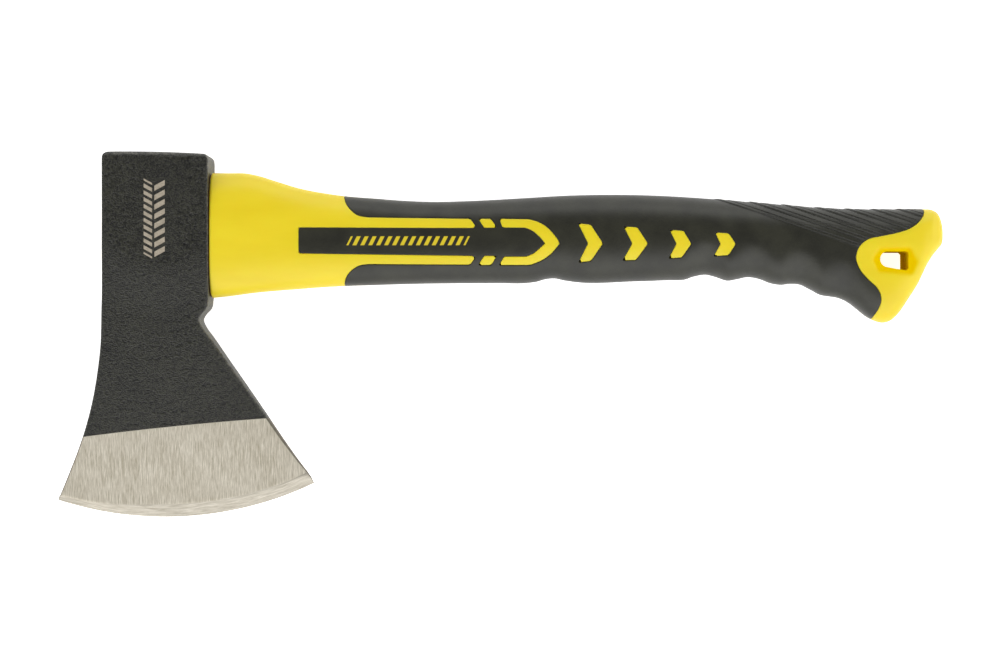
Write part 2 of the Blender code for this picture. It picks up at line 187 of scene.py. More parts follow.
def head_rows():
    """The head's rows from the crown of the poll to the cutting edge: each a curve in the
    drawing from the front outline to the back one, and the half thickness along it.

    Rows cross the poll, run straight over the cheek, and bow by degrees until the last of them
    lies on the start of the honed bevel; the bevel's own rows then fill the way to the edge."""
    across = np.linspace(0.0, 1.0, FACE_COLUMNS)
    rows = []
    for drop, half, inset in POLL_ROWS:
        left = np.array([HEAD_LEFT + inset, POLL_TOP - drop])
        right = np.array([HEAD_RIGHT - inset * BACK_INSET, POLL_TOP - POLL_SLOPE - drop])
        line = left + (right - left) * across[:, None]
        line[:, 1] += POLL_CROWN * np.sin(np.pi * across) ** CROWN_POWER
        rows.append((line, np.full(FACE_COLUMNS, half)))
    angle = TOE_ANGLE + (HEEL_ANGLE - TOE_ANGLE) * across
    outward = np.column_stack([np.sin(angle), -np.cos(angle)])
    start = along(BEVEL_START, np.degrees(angle))
    bevel = EDGE_CENTRE + start[:, None] * outward
    chord = bevel[0] + (bevel[-1] - bevel[0]) * across[:, None]
    for v in np.linspace(0.0, 1.0, HEAD_ROWS):
        left_y = (1 - v) * (POLL_TOP - CHEEK_DROP) + v * bevel[0, 1]
        right_y = (1 - v) * (POLL_TOP - POLL_SLOPE - CHEEK_DROP) + v * bevel[-1, 1]
        left = np.array([along(FRONT_OUTLINE, left_y), left_y])
        right = np.array([along(BACK_OUTLINE, right_y), right_y])
        bow = smooth(BOW_START, 1.0, v) ** BOW_POWER * (bevel - chord)
        line = left + (right - left) * across[:, None] + bow
        half = along(CHEEK_TAPER, np.linalg.norm(line - EDGE_CENTRE, axis=1))
        fall = END_FALL * np.abs(2 * across - 1) ** 3 * smooth(*THICK_ENOUGH, half)
        rows.append((line, half - fall))
    thick = along(CHEEK_TAPER, start)
    for v in np.linspace(0.0, 1.0, BEVEL_ROWS + 1)[1:]:
        radius = start + (EDGE_RADIUS - start) * v
        line = EDGE_CENTRE + radius[:, None] * outward
        rows.append((line, thick * (1 - v) + EDGE_HALF_THICKNESS * v))
    rows.append((line, np.zeros(FACE_COLUMNS)))
    return rows


def head_ring(line, half):
    """One row as a closed ring: over the face, round the back end, under, round the front end.

    At each end the section turns through a rounded corner into a side that is square beside the
    eye, and below it leans outwards to the middle plane by the forging draft."""
    length = np.linalg.norm(np.diff(line, axis=0), axis=1).sum()
    ends = []
    for column, growth in ((0, FRONT_GROWTH), (-1, BACK_GROWTH)):
        t = half[column]
        below_eye = float(smooth(*BELOW_EYE, line[column, 1]))
        rounding = min(CORNER_ROUNDING + growth * below_eye, LARGEST_SHARE * t)
        lean = DRAFT * t * below_eye
        inset = lean + rounding * (1 - np.sin(CORNER_TURNS))
        height = t - rounding * (1 - np.cos(CORNER_TURNS))
        inset = np.append(inset, lean * SIDE_STEPS)
        height = np.append(height, (t - rounding) * SIDE_STEPS)
        ends.append((inset / length, height))
    (front_in, front_up), (back_in, back_up) = ends
    share = np.linspace(0.0, 1.0, FACE_COLUMNS)
    inner = front_in[0] + (1 - front_in[0] - back_in[0]) * share
    over = np.concatenate([front_in[:0:-1], inner, 1 - back_in[1:]])
    over_up = np.concatenate([front_up[:0:-1], half, back_up[1:]])
    around = np.concatenate([over, [1.0], over[::-1], [0.0]])
    height = np.concatenate([over_up, [0.0], -over_up[::-1], [0.0]])
    x = np.interp(around, share, line[:, 0])
    y = np.interp(around, share, line[:, 1])
    return np.column_stack([x, y, height])


head = ringed_piece("forged_head", [head_ring(line, half) for line, half in head_rows()])

# The eye is an oval that widens from its mouth, at the collar, up to the top of the head,
# where a steep chamfer opens it further.
EYE_CENTRE_Y = 39.8
EYE_HALF_HEIGHT = 22.5
EYE_HALF_WIDTH = 9.5
EYE_MOUTH = -117.8
EYE_FLARE = 1.05
EYE_OVERRUN = 4.0
EYE_COLUMNS = 96
CHAMFER_DEPTH = 0.7
CHAMFER_FLARE = 1.054
CHAMFER_HIGH = 1.16
CHAMFER_WIDE = 1.37


def oval_piece(name, stations, centre_y):
    """Piece from ovals across X, each given as x, half height and half width: y goes by the
    cosine of the turn and z by its sine. The first and last ovals are points or the same."""
    turn = np.linspace(0.0, 2 * math.pi, EYE_COLUMNS, endpoint=False)
    x, high, wide = np.array(stations, float).T[:, :, None]
    y = centre_y + high * np.cos(turn)
    z = wide * np.sin(turn)
    return ringed_piece(name, np.stack(np.broadcast_arrays(x, y, z), axis=-1))


def cut_away(piece, cutter):
    """Cuts one piece's mesh by another, which is then removed."""
    cut = piece.modifiers.new("cut", "BOOLEAN")
    cut.solver = "EXACT"
    cut.object = cutter
    bpy.context.view_layer.update()
    evaluated = piece.evaluated_get(bpy.context.evaluated_depsgraph_get())
    piece.data = bpy.data.meshes.new_from_object(evaluated)
    piece.data.name = piece.name
    piece.modifiers.clear()
    bpy.data.objects.remove(cutter, do_unlink=True)


eye_cutter = oval_piece("eye_cutter", [
    (HEAD_LEFT - EYE_OVERRUN, 0.0, 0.0),
    (HEAD_LEFT - EYE_OVERRUN, EYE_HALF_HEIGHT * CHAMFER_HIGH, EYE_HALF_WIDTH * CHAMFER_WIDE),
    (HEAD_LEFT + CHAMFER_DEPTH, EYE_HALF_HEIGHT * CHAMFER_FLARE, EYE_HALF_WIDTH * CHAMFER_FLARE),
    (EYE_MOUTH + EYE_OVERRUN, EYE_HALF_HEIGHT, EYE_HALF_WIDTH),
    (EYE_MOUTH + EYE_OVERRUN, 0.0, 0.0)], EYE_CENTRE_Y)
cut_away(head, eye_cutter)
head.data.set_sharp_from_angle(angle=math.radians(38))


def linear(code):
    """Linear colour of an sRGB hex code, with alpha 1."""
    channels = [int(code[i:i + 2], 16) / 255 for i in (1, 3, 5)]
    bent = [c / 12.92 if c <= 0.04045 else ((c + 0.055) / 1.055) ** 2.4 for c in channels]
    return (*bent, 1.0)


def add(tree, kind, inputs, **settings):
    """Adds one shader node. Settings are its properties. Each input is a value, a socket to
    link to, or a node, whose first output is linked."""
    node = tree.nodes.new("ShaderNode" + kind)
    for key, value in settings.items():
        setattr(node, key, value)
    for key, value in inputs.items():
        if isinstance(value, bpy.types.Node):
            value = value.outputs[0]
        if isinstance(value, bpy.types.NodeSocket):
            tree.links.new(value, node.inputs[key])
        else:
            node.inputs[key].default_value = value
    return node


def new_material(name):
    """New empty material and its node tree."""
    material = bpy.data.materials.new(name)
    material.use_nodes = True
    material.node_tree.nodes.clear()
    return material, material.node_tree


def two_tones(tree, value, low, high, first, last):
    """Colour that goes in a straight line from one sRGB code to another as a value goes from
    low to high."""
    share = add(tree, "MapRange", {0: value, 1: low, 2: high})
    colours = {0: share, 6: linear(first), 7: linear(last)}
    return add(tree, "Mix", colours, data_type="RGBA").outputs[2]


def drawing_place(tree):
    """A point's place in the drawing: mm along X and Y, and height from the middle plane."""
    place = add(tree, "TexCoord", {}).outputs["Object"]
    mm = add(tree, "VectorMath", {0: place, 1: (1 / MM, 1 / MM, 1 / MM)}, operation="MULTIPLY")
    datum = (0.0, drawing_y / MM, middle_z / MM)
    return add(tree, "VectorMath", {0: mm, 1: datum}, operation="SUBTRACT")


MARK_BLUR = 0.08


def hatched(tree, across, lengthwise, half_width, half_length, pitch, lean, fill):
    """Mask of a column of slanted dashes centred on 0: the distance along the column plus lean
    times that across it repeats by the pitch, and a dash fills its share of each repeat."""
    slanted = add(tree, "Math", {0: across, 1: lean, 2: lengthwise}, operation="MULTIPLY_ADD")
    repeat = add(tree, "Math", {0: slanted, 1: pitch / 2}, operation="PINGPONG")
    edge = (1 - fill) * pitch / 2
    dash = add(tree, "MapRange", {0: repeat, 1: edge - MARK_BLUR, 2: edge + MARK_BLUR})
    off_middle = add(tree, "Math", {0: across}, operation="ABSOLUTE")
    wide = add(tree, "MapRange", {0: off_middle, 1: half_width + MARK_BLUR,
                                  2: half_width - MARK_BLUR})
    off_centre = add(tree, "Math", {0: slanted}, operation="ABSOLUTE")
    long = add(tree, "Math", {0: off_centre, 1: half_length}, operation="LESS_THAN")
    band = add(tree, "Math", {0: dash, 1: wide}, operation="MULTIPLY")
    return add(tree, "Math", {0: band, 1: long}, operation="MULTIPLY")


# Two columns of hatching: place across, half width, half length, pitch and lean.
MARK_CENTRE = (-139.4, 46.3)
MARK_COLUMNS = [(-2.5, 1.7, 15.2, 2.76, 0.55), (2.2, 2.1, 15.2, 3.8, -0.55)]
MARK_FILL = 0.56
MARK_ABOVE = CHEEK_TAPER[3][1]
# Where the brighter finish of the honed bevel starts: its distance from the edge's centre at
# the toe and at the middle, and the angles in radians between which it changes.
BEVEL_AT_TOE = 139.2
BEVEL_AT_MIDDLE = 136.3
BEVEL_TOE_ANGLE = -0.31
BEVEL_MIDDLE_ANGLE = 0.02
HONE_STRETCH = 0.07
# The line that the coat stops on.
PAINT_SLOPE = 0.1024
PAINT_HEIGHT = -24.05
PAINT_ARCH = 0.0004
PAINT_MIDDLE = -133.2
PAINT_RAGGED = 0.6
# Height over which the coat on the top corner of the poll starts to be rubbed and lightened, partly
# wear and partly a painted highlight.
POLL_EDGE_SHEEN = (71.9, 72.5)


def powder_coated_and_ground_steel():
    """Wrinkle powder coat over forged steel, with the blade ground and its edge honed bare.

    Powder coat is a dielectric of IOR about 1.5, here nearly black. Its real wrinkles are about
    0.3 mm wide, too fine to show, and are drawn 0.5 and 1.2 mm wide; each catches a small
    glint, and painted shade darkens the hollows between them. It is thin and rubbed on the sides
    and corners, where its lighter grey is partly real wear and partly a painted reflection. The
    ground steel is a rough metal, streaked by grit that ran across the edge; the honed bevel is
    brighter and is streaked along the edge. Two columns of plain hatching are etched through the
    coat."""
    material, tree = new_material("powder_coated_and_ground_steel")
    mm = drawing_place(tree)
    x, y, z = add(tree, "SeparateXYZ", {0: mm}).outputs
    wear = add(tree, "TexNoise", {"Vector": mm, "Scale": 0.6, "Detail": 5.0, "Roughness": 0.7})

    # Grinding marks 0.3 mm apart and 20 mm long, running from the paint to the edge.
    across = add(tree, "VectorMath", {0: mm, 1: (1.0, 0.014, 0.5)}, operation="MULTIPLY")
    marks = add(tree, "TexNoise", {"Vector": across, "Scale": 3.4, "Detail": 3.0,
                                   "Roughness": 0.75})
    clouds = add(tree, "TexNoise", {"Vector": mm, "Scale": 0.05, "Detail": 2.0,
                                    "Roughness": 0.55})
    streaks = add(tree, "Math", {0: clouds, 1: 0.16, 2: marks}, operation="MULTIPLY_ADD")
    mark_bump = add(tree, "Bump", {"Height": marks, "Strength": 0.35, "Distance": 0.0003})
    ground = add(tree, "BsdfPrincipled", {
        "Base Color": two_tones(tree, streaks, 0.38, 0.78, "#a79e89", "#ece6d8"),
        "Metallic": 1.0, "Roughness": 0.5, "Normal": mark_bump})

    # Place round the centre of the edge: distance in mm, and mm along the edge, stretched.
    centre = (EDGE_CENTRE[0], EDGE_CENTRE[1], 0.0)
    from_centre = add(tree, "VectorMath", {0: mm, 1: centre}, operation="SUBTRACT")
    flat = add(tree, "VectorMath", {0: from_centre, 1: (1.0, 1.0, 0.0)}, operation="MULTIPLY")
    radius = add(tree, "VectorMath", {0: flat}, operation="LENGTH").outputs["Value"]
    right, up, _ = add(tree, "SeparateXYZ", {0: from_centre}).outputs
    down = add(tree, "Math", {0: up, 1: -1.0}, operation="MULTIPLY")
    angle = add(tree, "Math", {0: right, 1: down}, operation="ARCTAN2")
    lengthwise = add(tree, "Math", {0: angle, 1: EDGE_RADIUS * HONE_STRETCH},
                     operation="MULTIPLY")
    polar = add(tree, "CombineXYZ", {0: lengthwise, 1: radius, 2: z})
    hone = add(tree, "TexNoise", {"Vector": polar, "Scale": 1.9, "Detail": 5.0,
                                  "Roughness": 0.7})
    hone_bump = add(tree, "Bump", {"Height": hone, "Strength": 0.25, "Distance": 0.0003})
    honed = add(tree, "BsdfPrincipled", {
        "Base Color": two_tones(tree, hone, 0.33, 0.7, "#a69f90", "#d9d3c6"),
        "Metallic": 1.0, "Roughness": 0.42, "Normal": hone_bump})
    start = add(tree, "MapRange", {0: angle, 1: BEVEL_TOE_ANGLE, 2: BEVEL_MIDDLE_ANGLE,
                                   3: BEVEL_AT_TOE, 4: BEVEL_AT_MIDDLE},
                interpolation_type="SMOOTHSTEP")
    past_start = add(tree, "Math", {0: radius, 1: start}, operation="SUBTRACT")
    is_honed = add(tree, "MapRange", {0: past_start, 1: -0.15, 2: 0.15})
    bare = add(tree, "MixShader", {0: is_honed, 1: ground, 2: honed})

    # Its corners and sides, where the surface turns away from the top, are coloured a darker brown,
    # thinly.
    facing = add(tree, "NewGeometry", {}).outputs["Normal"]
    _, _, facing_up = add(tree, "SeparateXYZ", {0: facing}).outputs
    tilt = add(tree, "Math", {0: facing_up}, operation="ABSOLUTE")
    darker_sides = add(tree, "BsdfPrincipled", {
        "Base Color": two_tones(tree, wear, 0.36, 0.64, "#28231b", "#5c5343"),
        "Metallic": 0.5, "Roughness": 0.5})
    on_darker_sides = add(tree, "MapRange", {0: tilt, 1: 0.94, 2: 0.84, 4: 0.85})
    bare = add(tree, "MixShader", {0: on_darker_sides, 1: bare, 2: darker_sides})

    # The coat: wrinkles, with painted shade darkening the hollows between them, and the clouded tone
    # of its film.
    wrinkle = add(tree, "TexNoise", {"Vector": mm, "Scale": 1.9, "Detail": 0.0})
    grain = add(tree, "TexNoise", {"Vector": mm, "Scale": 0.8, "Detail": 0.0})
    relief_and_hollow_shade = add(tree, "Math", {0: grain, 1: 0.4, 2: wrinkle}, operation="MULTIPLY_ADD")
    coat_bump = add(tree, "Bump", {"Height": relief_and_hollow_shade, "Strength": 1.0, "Distance": 0.00027})
    # Painted shade: the base colour follows the wrinkles' height and is darker in their hollows.
    film = add(tree, "Math", {0: clouds, 1: 0.3, 2: relief_and_hollow_shade}, operation="MULTIPLY_ADD")
    coat = add(tree, "BsdfPrincipled", {
        "Base Color": two_tones(tree, film, 0.62, 1.08, "#060605", "#33332a"),
        "Roughness": 0.3, "IOR": 1.5, "Normal": coat_bump})

    # On the corners and sides the coat is thin, brown-grey and rubbed through in specks, most
    # of all where it rounds a corner. This lighter grey on the flanks and on the top corner of the
    # poll is partly real wear and partly a painted reflection.
    rubbed_and_sheen = add(tree, "BsdfPrincipled", {
        "Base Color": two_tones(tree, wear, 0.4, 0.66, "#262622", "#74726a"),
        "Metallic": 0.2, "Roughness": 0.5, "Normal": coat_bump})
    flank = add(tree, "MapRange", {0: tilt, 1: 0.86, 2: 0.6})
    # Painted highlight: the top corner of the poll is lightened by its height, as a reflection.
    poll_edge_sheen = add(tree, "MapRange", {0: y, 1: POLL_EDGE_SHEEN[0], 2: POLL_EDGE_SHEEN[1]})
    exposed_and_sheen = add(tree, "Math", {0: flank, 1: poll_edge_sheen}, operation="MAXIMUM")
    corner = add(tree, "MapRange", {0: tilt, 1: 0.08, 2: 0.3, 3: 0.25, 4: 1.0})
    exposed_and_sheen = add(tree, "Math", {0: exposed_and_sheen, 1: corner}, operation="MULTIPLY")
    specks = add(tree, "MapRange", {0: wear, 1: 0.36, 2: 0.5, 3: 0.55, 4: 0.95})
    worn_and_sheen = add(tree, "Math", {0: exposed_and_sheen, 1: specks}, operation="MULTIPLY")
    coat = add(tree, "MixShader", {0: worn_and_sheen, 1: coat, 2: rubbed_and_sheen})

    # Hatching etched on both faces, beside the middle of the eye.
    to_right = add(tree, "Math", {0: x, 1: MARK_CENTRE[0]}, operation="SUBTRACT")
    to_top = add(tree, "Math", {0: y, 1: MARK_CENTRE[1]}, operation="SUBTRACT")
    mark = 0.0
    for place, half_width, half_length, pitch, lean in MARK_COLUMNS:
        beside = add(tree, "Math", {0: to_right, 1: place}, operation="SUBTRACT")
        column = hatched(tree, beside, to_top, half_width, half_length, pitch, lean, MARK_FILL)
        mark = add(tree, "Math", {0: mark, 1: column}, operation="MAXIMUM")
    above_middle = add(tree, "Math", {0: z}, operation="ABSOLUTE")
    on_face = add(tree, "Math", {0: above_middle, 1: MARK_ABOVE}, operation="GREATER_THAN")
    mark = add(tree, "Math", {0: mark, 1: on_face}, operation="MULTIPLY")
    etched = add(tree, "BsdfPrincipled", {
        "Base Color": two_tones(tree, wear, 0.3, 0.7, "#9d9382", "#b8ad9b"),
        "Metallic": 0.25, "Roughness": 0.55, "Normal": coat_bump})
    coat = add(tree, "MixShader", {0: mark, 1: coat, 2: etched})

    # The coat stops on a slightly arched, slanting line, with a ragged edge.
    from_middle = add(tree, "Math", {0: x, 1: PAINT_MIDDLE}, operation="SUBTRACT")
    square = add(tree, "Math", {0: from_middle, 1: from_middle}, operation="MULTIPLY")
    slant = add(tree, "Math", {0: x, 1: PAINT_SLOPE, 2: PAINT_HEIGHT}, operation="MULTIPLY_ADD")
    line = add(tree, "Math", {0: square, 1: -PAINT_ARCH, 2: slant}, operation="MULTIPLY_ADD")
    above = add(tree, "Math", {0: y, 1: line}, operation="SUBTRACT")
    ragged = add(tree, "Math", {0: marks, 1: PAINT_RAGGED, 2: above}, operation="MULTIPLY_ADD")
    is_painted = add(tree, "MapRange", {0: ragged, 1: 0.16, 2: 0.34})
    shader = add(tree, "MixShader", {0: is_painted, 1: bare, 2: coat})
    add(tree, "OutputMaterial", {"Surface": shader})
    return material


head.data.materials.clear()
head.data.materials.append(powder_coated_and_ground_steel())
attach(head, "root")
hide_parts("axe_head")

# THE HANDLE'S OUTER SURFACE
# Both mouldings share one outer surface: an oval section between an upper and a lower
# outline, fuller at the collar and the butt. Places on it are x in mm along the handle and t,
# the turn round the section from the top, over the face, to the bottom.

COLLAR_GAP = 0.3
HANDLE_START = EYE_MOUTH + COLLAR_GAP
HANDLE_END = 180.0
UPPER_OUTLINE = [(-118.0, 65.4), (-111.0, 65.3), (-103.5, 65.2), (-98.0, 64.1), (-92.0, 62.2),
                 (-81.7, 59.1), (-69.5, 56.8), (-63.4, 56.0), (-51.0, 55.0), (-38.5, 54.05),
                 (-26.5, 53.65), (-14.0, 53.95), (10.0, 55.2), (26.0, 56.15), (43.0, 56.55),
                 (59.0, 56.35), (75.0, 55.6), (87.5, 54.7), (100.0, 53.65), (113.5, 52.55),
                 (127.0, 51.4), (139.5, 50.75), (152.5, 50.55), (165.0, 50.6), (172.5, 50.6),
                 (176.0, 50.1), (178.0, 48.4), (179.1, 45.6), (179.7, 42.8), (HANDLE_END, 40.6)]
LOWER_OUTLINE = [(-118.0, 14.4), (-110.0, 15.2), (-102.0, 16.3), (-81.7, 18.1), (-69.5, 19.0),
                 (-51.0, 19.7), (-38.5, 20.1), (-20.0, 20.4), (0.0, 20.5), (10.3, 20.5),
                 (14.5, 21.0), (18.5, 22.1), (22.0, 22.4), (26.0, 21.6), (30.0, 21.0),
                 (55.0, 21.2), (69.0, 21.7), (75.0, 21.9), (79.0, 23.2), (83.7, 23.9),
                 (88.0, 22.9), (92.5, 21.5), (96.5, 22.1), (100.5, 22.9), (105.5, 22.2),
                 (110.0, 20.5), (114.0, 19.8), (118.3, 20.2), (122.0, 19.9), (126.5, 17.8),
                 (130.5, 15.7), (134.0, 15.1), (137.5, 14.5), (141.5, 12.8), (145.5, 9.8),
                 (149.0, 7.0), (152.6, 5.1), (156.2, 4.4), (158.4, 5.0), (161.0, 7.1),
                 (165.8, 13.9), (170.0, 20.8), (172.5, 26.3), (175.4, 31.2), (178.2, 34.7),
                 (179.6, 36.7), (HANDLE_END, 38.4)]
HALF_THICKNESS = [(-118.0, 12.0), (-95.0, 11.5), (-60.0, 11.2), (-26.0, 11.5), (10.0, 12.3),
                  (50.0, 12.8), (90.0, 12.95), (120.0, 12.8), (145.0, 12.3), (165.0, 11.9),
                  (172.0, 11.3), (176.0, 10.0), (178.4, 7.9), (179.5, 5.0), (HANDLE_END, 1.6)]
SQUARENESS = [(-118.0, 2.7), (-60.0, 2.5), (0.0, 2.3), (100.0, 2.3), (150.0, 2.7),
              (HANDLE_END, 2.8)]
# The lower outline without its finger grooves, against which their swell is measured.
PLAIN_LOWER = [(-118.0, 14.4), (0.0, 20.5), (60.0, 21.3), (84.0, 22.7), (101.0, 22.2),
               (119.0, 19.2), (137.0, 13.2), (150.0, 7.0), (HANDLE_END, 38.4)]
# The swell of the flanks to one mm of lobe, and where it fades in: down the flank, at the
# first lobe and at the last.
SWELL = 0.85
LARGEST_LOBE = 2.0
SWELL_DOWN = (-0.1, -0.75)
SWELL_FIRST = (64.0, 74.0)
SWELL_LAST = (150.0, 138.0)
LEAST_THICKNESS = 0.4

RECESS = [(148.8, 30.2), (152.6, 35.4), (165.8, 35.7), (169.4, 29.2), (166.8, 22.8),
          (151.6, 24.0)]
RECESS_ROUNDING = 3.0
RECESS_DEPTH = 1.1
RECESS_SLOPE = 3.2
SIDE_FADE = 0.3
COLLAR_ROUNDING = 0.8


def inside_distance(loop, xy, rounding=0.0):
    """Distance inside a closed outline, in mm, negative outside it: the distance to the
    nearest side, signed by how often a ray crosses the outline. A rounding shrinks the
    outline by mitring its sides inwards, and takes the same from the distance."""
    loop = np.array(loop, float)
    if rounding:
        side = np.roll(loop, -1, axis=0) - loop
        side /= np.linalg.norm(side, axis=1)[:, None]
        ahead = np.roll(loop, -1, axis=0)
        winding = np.sign(np.sum(loop[:, 0] * ahead[:, 1] - loop[:, 1] * ahead[:, 0]))
        normal = winding * np.column_stack([side[:, 1], -side[:, 0]])
        before = np.roll(normal, 1, axis=0)
        loop = loop - rounding * (normal + before) / (1 + np.sum(normal * before, axis=1))[:, None]
    x, y = xy[..., 0], xy[..., 1]
    nearest = np.full(x.shape, np.inf)
    crossings = np.zeros(x.shape, bool)
    for (ax, ay), (bx, by) in zip(loop, np.roll(loop, -1, axis=0)):
        dx, dy = bx - ax, by - ay
        t = np.clip(((x - ax) * dx + (y - ay) * dy) / (dx * dx + dy * dy), 0.0, 1.0)
        nearest = np.minimum(nearest, (x - ax - t * dx) ** 2 + (y - ay - t * dy) ** 2)
        if dy:
            crossings ^= ((ay > y) != (by > y)) & (x < (y - ay) / dy * dx + ax)
    return np.where(crossings, 1.0, -1.0) * np.sqrt(nearest) + rounding


def handle_surface(x, t, inset=0.0):
    """Points of the handle's outer surface, each section shrunk by inset.

    The section is a superellipse: up to a power plus out to the same power is 1. A recess is
    sunk round the hang hole in both faces, the flanks swell beside the fingers' lobes, and the
    collar's end is rounded off."""
    ahead = np.clip(1 - (x - HANDLE_START) / COLLAR_ROUNDING, 0.0, 1.0)
    inset = inset + COLLAR_ROUNDING * (1 - np.sqrt(1 - ahead**2))
    top = along(UPPER_OUTLINE, x) - inset
    bottom = along(LOWER_OUTLINE, x) + inset
    thick = np.maximum(along(HALF_THICKNESS, x) - inset, LEAST_THICKNESS)
    power = along(SQUARENESS, x)
    up, out = np.cos(t), np.sin(t)
    scale = (np.abs(up) ** power + np.abs(out) ** power) ** (-1 / power)
    high = np.maximum(top - bottom, LEAST_THICKNESS) / 2
    y = (top + bottom) / 2 + high * up * scale
    lobe = np.clip(along(PLAIN_LOWER, x) - along(LOWER_OUTLINE, x), -LARGEST_LOBE, LARGEST_LOBE)
    beside = smooth(*SWELL_DOWN, up) * smooth(*SWELL_FIRST, x) * smooth(*SWELL_LAST, x)
    z = (thick + SWELL * lobe * beside) * out * scale
    points = np.stack(np.broadcast_arrays(x, y, z), axis=-1)
    behind = points[..., 0] > RECESS[0][0] - 1.0
    depth = inside_distance(RECESS, points[behind][:, :2], RECESS_ROUNDING)
    sunk = RECESS_DEPTH * smooth(0.0, RECESS_SLOPE, depth)
    side = np.broadcast_to(out, behind.shape)[behind]
    points[behind, 2] -= sunk * np.sign(side) * smooth(0.0, SIDE_FADE, np.abs(side))
    return points


# The step for measuring the surface's slopes.
NORMAL_STEP = 0.02


def handle_normal(x, t):
    """Outward unit normals of the handle's surface, from its slopes along x and t."""
    x = np.clip(x, HANDLE_START + NORMAL_STEP, HANDLE_END - NORMAL_STEP)
    by_x = handle_surface(x + NORMAL_STEP, t) - handle_surface(x - NORMAL_STEP, t)
    by_t = handle_surface(x, t + NORMAL_STEP) - handle_surface(x, t - NORMAL_STEP)
    normal = np.cross(by_x, by_t)
    normal /= np.maximum(np.linalg.norm(normal, axis=-1, keepdims=True), 1e-9)
    return -normal


# Spacing of the grid: a trial section's half axes, the turn up to which the ridges reach, and
# steps in mm round the section above and below it, and along the handle.
TRIAL_HIGH = 17.5
TRIAL_WIDE = 12.5
RIDGES_REACH = 2.2
FINE_STEP = 0.58
COARSE_STEP = 0.9
PLAIN_STEP = 1.4
MARKED_STEP = 0.66
RIDGED_STEP = 0.72
TIP_LENGTH = 8.0


def section_turns():
    """Turns from the top to the bottom of one face and back over the other, closer together
    over the top, where the ridges are: equal steps of the arc's length over its spacing."""
    trial = np.linspace(0.0, math.pi, 720)
    section = [TRIAL_HIGH * np.cos(trial), TRIAL_WIDE * np.sin(trial)]
    arc = np.cumsum(np.append(0.0, np.hypot(*np.diff(section))))
    density = np.where(trial < RIDGES_REACH, 1 / FINE_STEP, 1 / COARSE_STEP)
    count = np.append(0.0, np.cumsum(np.diff(arc) * density[1:]))
    steps = int(round(count[-1]))
    face = np.interp(np.linspace(0.0, count[-1], steps + 1), count, trial)
    return np.concatenate([face, 2 * math.pi - face[-2:0:-1]])


turns = section_turns()
collar_end = HANDLE_START + COLLAR_ROUNDING * np.linspace(0.0, 0.9, 7) ** 2
tip = HANDLE_END - TIP_LENGTH * (1 - np.sin(np.linspace(0.0, math.pi / 2, 15)))
stations = np.concatenate([
    collar_end, np.arange(HANDLE_START + 1.1, -86.0, PLAIN_STEP),
    np.arange(-85.5, 98.0, MARKED_STEP),
    np.arange(98.2, HANDLE_END - TIP_LENGTH - 0.3, RIDGED_STEP), tip])

# Outlines of the sleeve and of the marks in it, in the drawing's XY. Straight runs are lists
# of corners; the wings, the butt's curve and the hook are smooth curves through a few points.
UPPER_WING = [(-63.6, 58.5), (-63.4, 55.6), (-62.3, 52.4), (-60.1, 49.6), (-57.4, 47.7),
              (-53.5, 46.95)]
LOWER_WING = [(-53.5, 27.95), (-57.2, 27.3), (-60.3, 25.3), (-62.4, 22.6), (-63.3, 19.3),
              (-63.5, 16.0)]
STRIPE_ENDS = [(-12.2, 46.4), (-10.1, 43.5), (-10.9, 42.55)]
STRIP_END = [(-81.4, 42.8), (-81.4, 32.3)]
LOWER_STRIPE_END = [(-11.6, 31.3), (-10.1, 30.5), (-12.3, 27.7)]
BUTT_CURVE = [(150.6, 0.0), (150.9, 6.0), (152.5, 9.3), (153.6, 12.6), (153.3, 15.6),
              (151.6, 18.7), (148.6, 21.4), (145.2, 25.2), (143.5, 29.0), (143.4, 31.8),
              (144.9, 35.3), (148.2, 38.0), (152.0, 39.0), (158.0, 40.2), (163.5, 41.7),
              (167.0, 43.5), (169.9, 46.3), (171.5, 49.2), (171.8, 53.0)]
UPPER_SLASH = [(-8.9, 46.4), (-3.8, 46.4), (-1.4, 42.65), (-6.6, 42.65)]
LOWER_SLASH = [(-6.6, 31.3), (-1.4, 31.3), (-3.7, 27.55), (-8.9, 27.55)]
HOOK_OUTSIDE = [(11.5, 46.15), (15.0, 45.1), (18.2, 43.3), (20.8, 40.8), (23.0, 38.0)]
HOOK_UNDERSIDE = [(20.8, 32.4), (17.5, 29.9), (13.0, 27.9), (10.8, 27.55)]
HOOK_INSIDE_LOW = [(10.5, 31.0), (13.4, 32.3), (15.9, 34.4)]
HOOK_INSIDE_HIGH = [(15.9, 38.9), (13.2, 41.2), (10.4, 42.5), (8.0, 42.7)]
CHEVRONS = [((31.2, 44.5), (36.4, 43.9), (41.3, 36.25), (36.5, 29.2), (31.5, 28.6), (35.3, 36.3)),
            ((49.6, 43.2), (55.1, 42.8), (59.4, 36.2), (54.7, 29.6), (49.3, 29.4), (53.1, 36.2)),
            ((68.1, 41.8), (73.7, 41.4), (76.9, 36.1), (73.1, 30.6), (67.8, 30.2), (70.9, 36.1)),
            ((86.4, 40.7), (91.9, 40.4), (94.8, 36.0), (91.8, 31.5), (86.0, 31.1), (88.6, 36.0))]
CHEVRON_ROUNDING = 0.2
STRIPE_ROUNDING = 0.25


def curve_through(points, steps=8):
    """Smooth open curve through the points (Catmull-Rom), steps to a span."""
    p = np.array(points, float)
    p = np.vstack([2 * p[0] - p[1], p, 2 * p[-1] - p[-2]])
    t = np.linspace(0.0, 1.0, steps, endpoint=False)[:, None]
    spans = [0.5 * (2 * b + (c - a) * t + (2 * a - 5 * b + 4 * c - d) * t**2
                    + (3 * b - a - 3 * c + d) * t**3)
             for a, b, c, d in zip(p, p[1:], p[2:], p[3:])]
    return np.vstack([*spans, p[-2]])


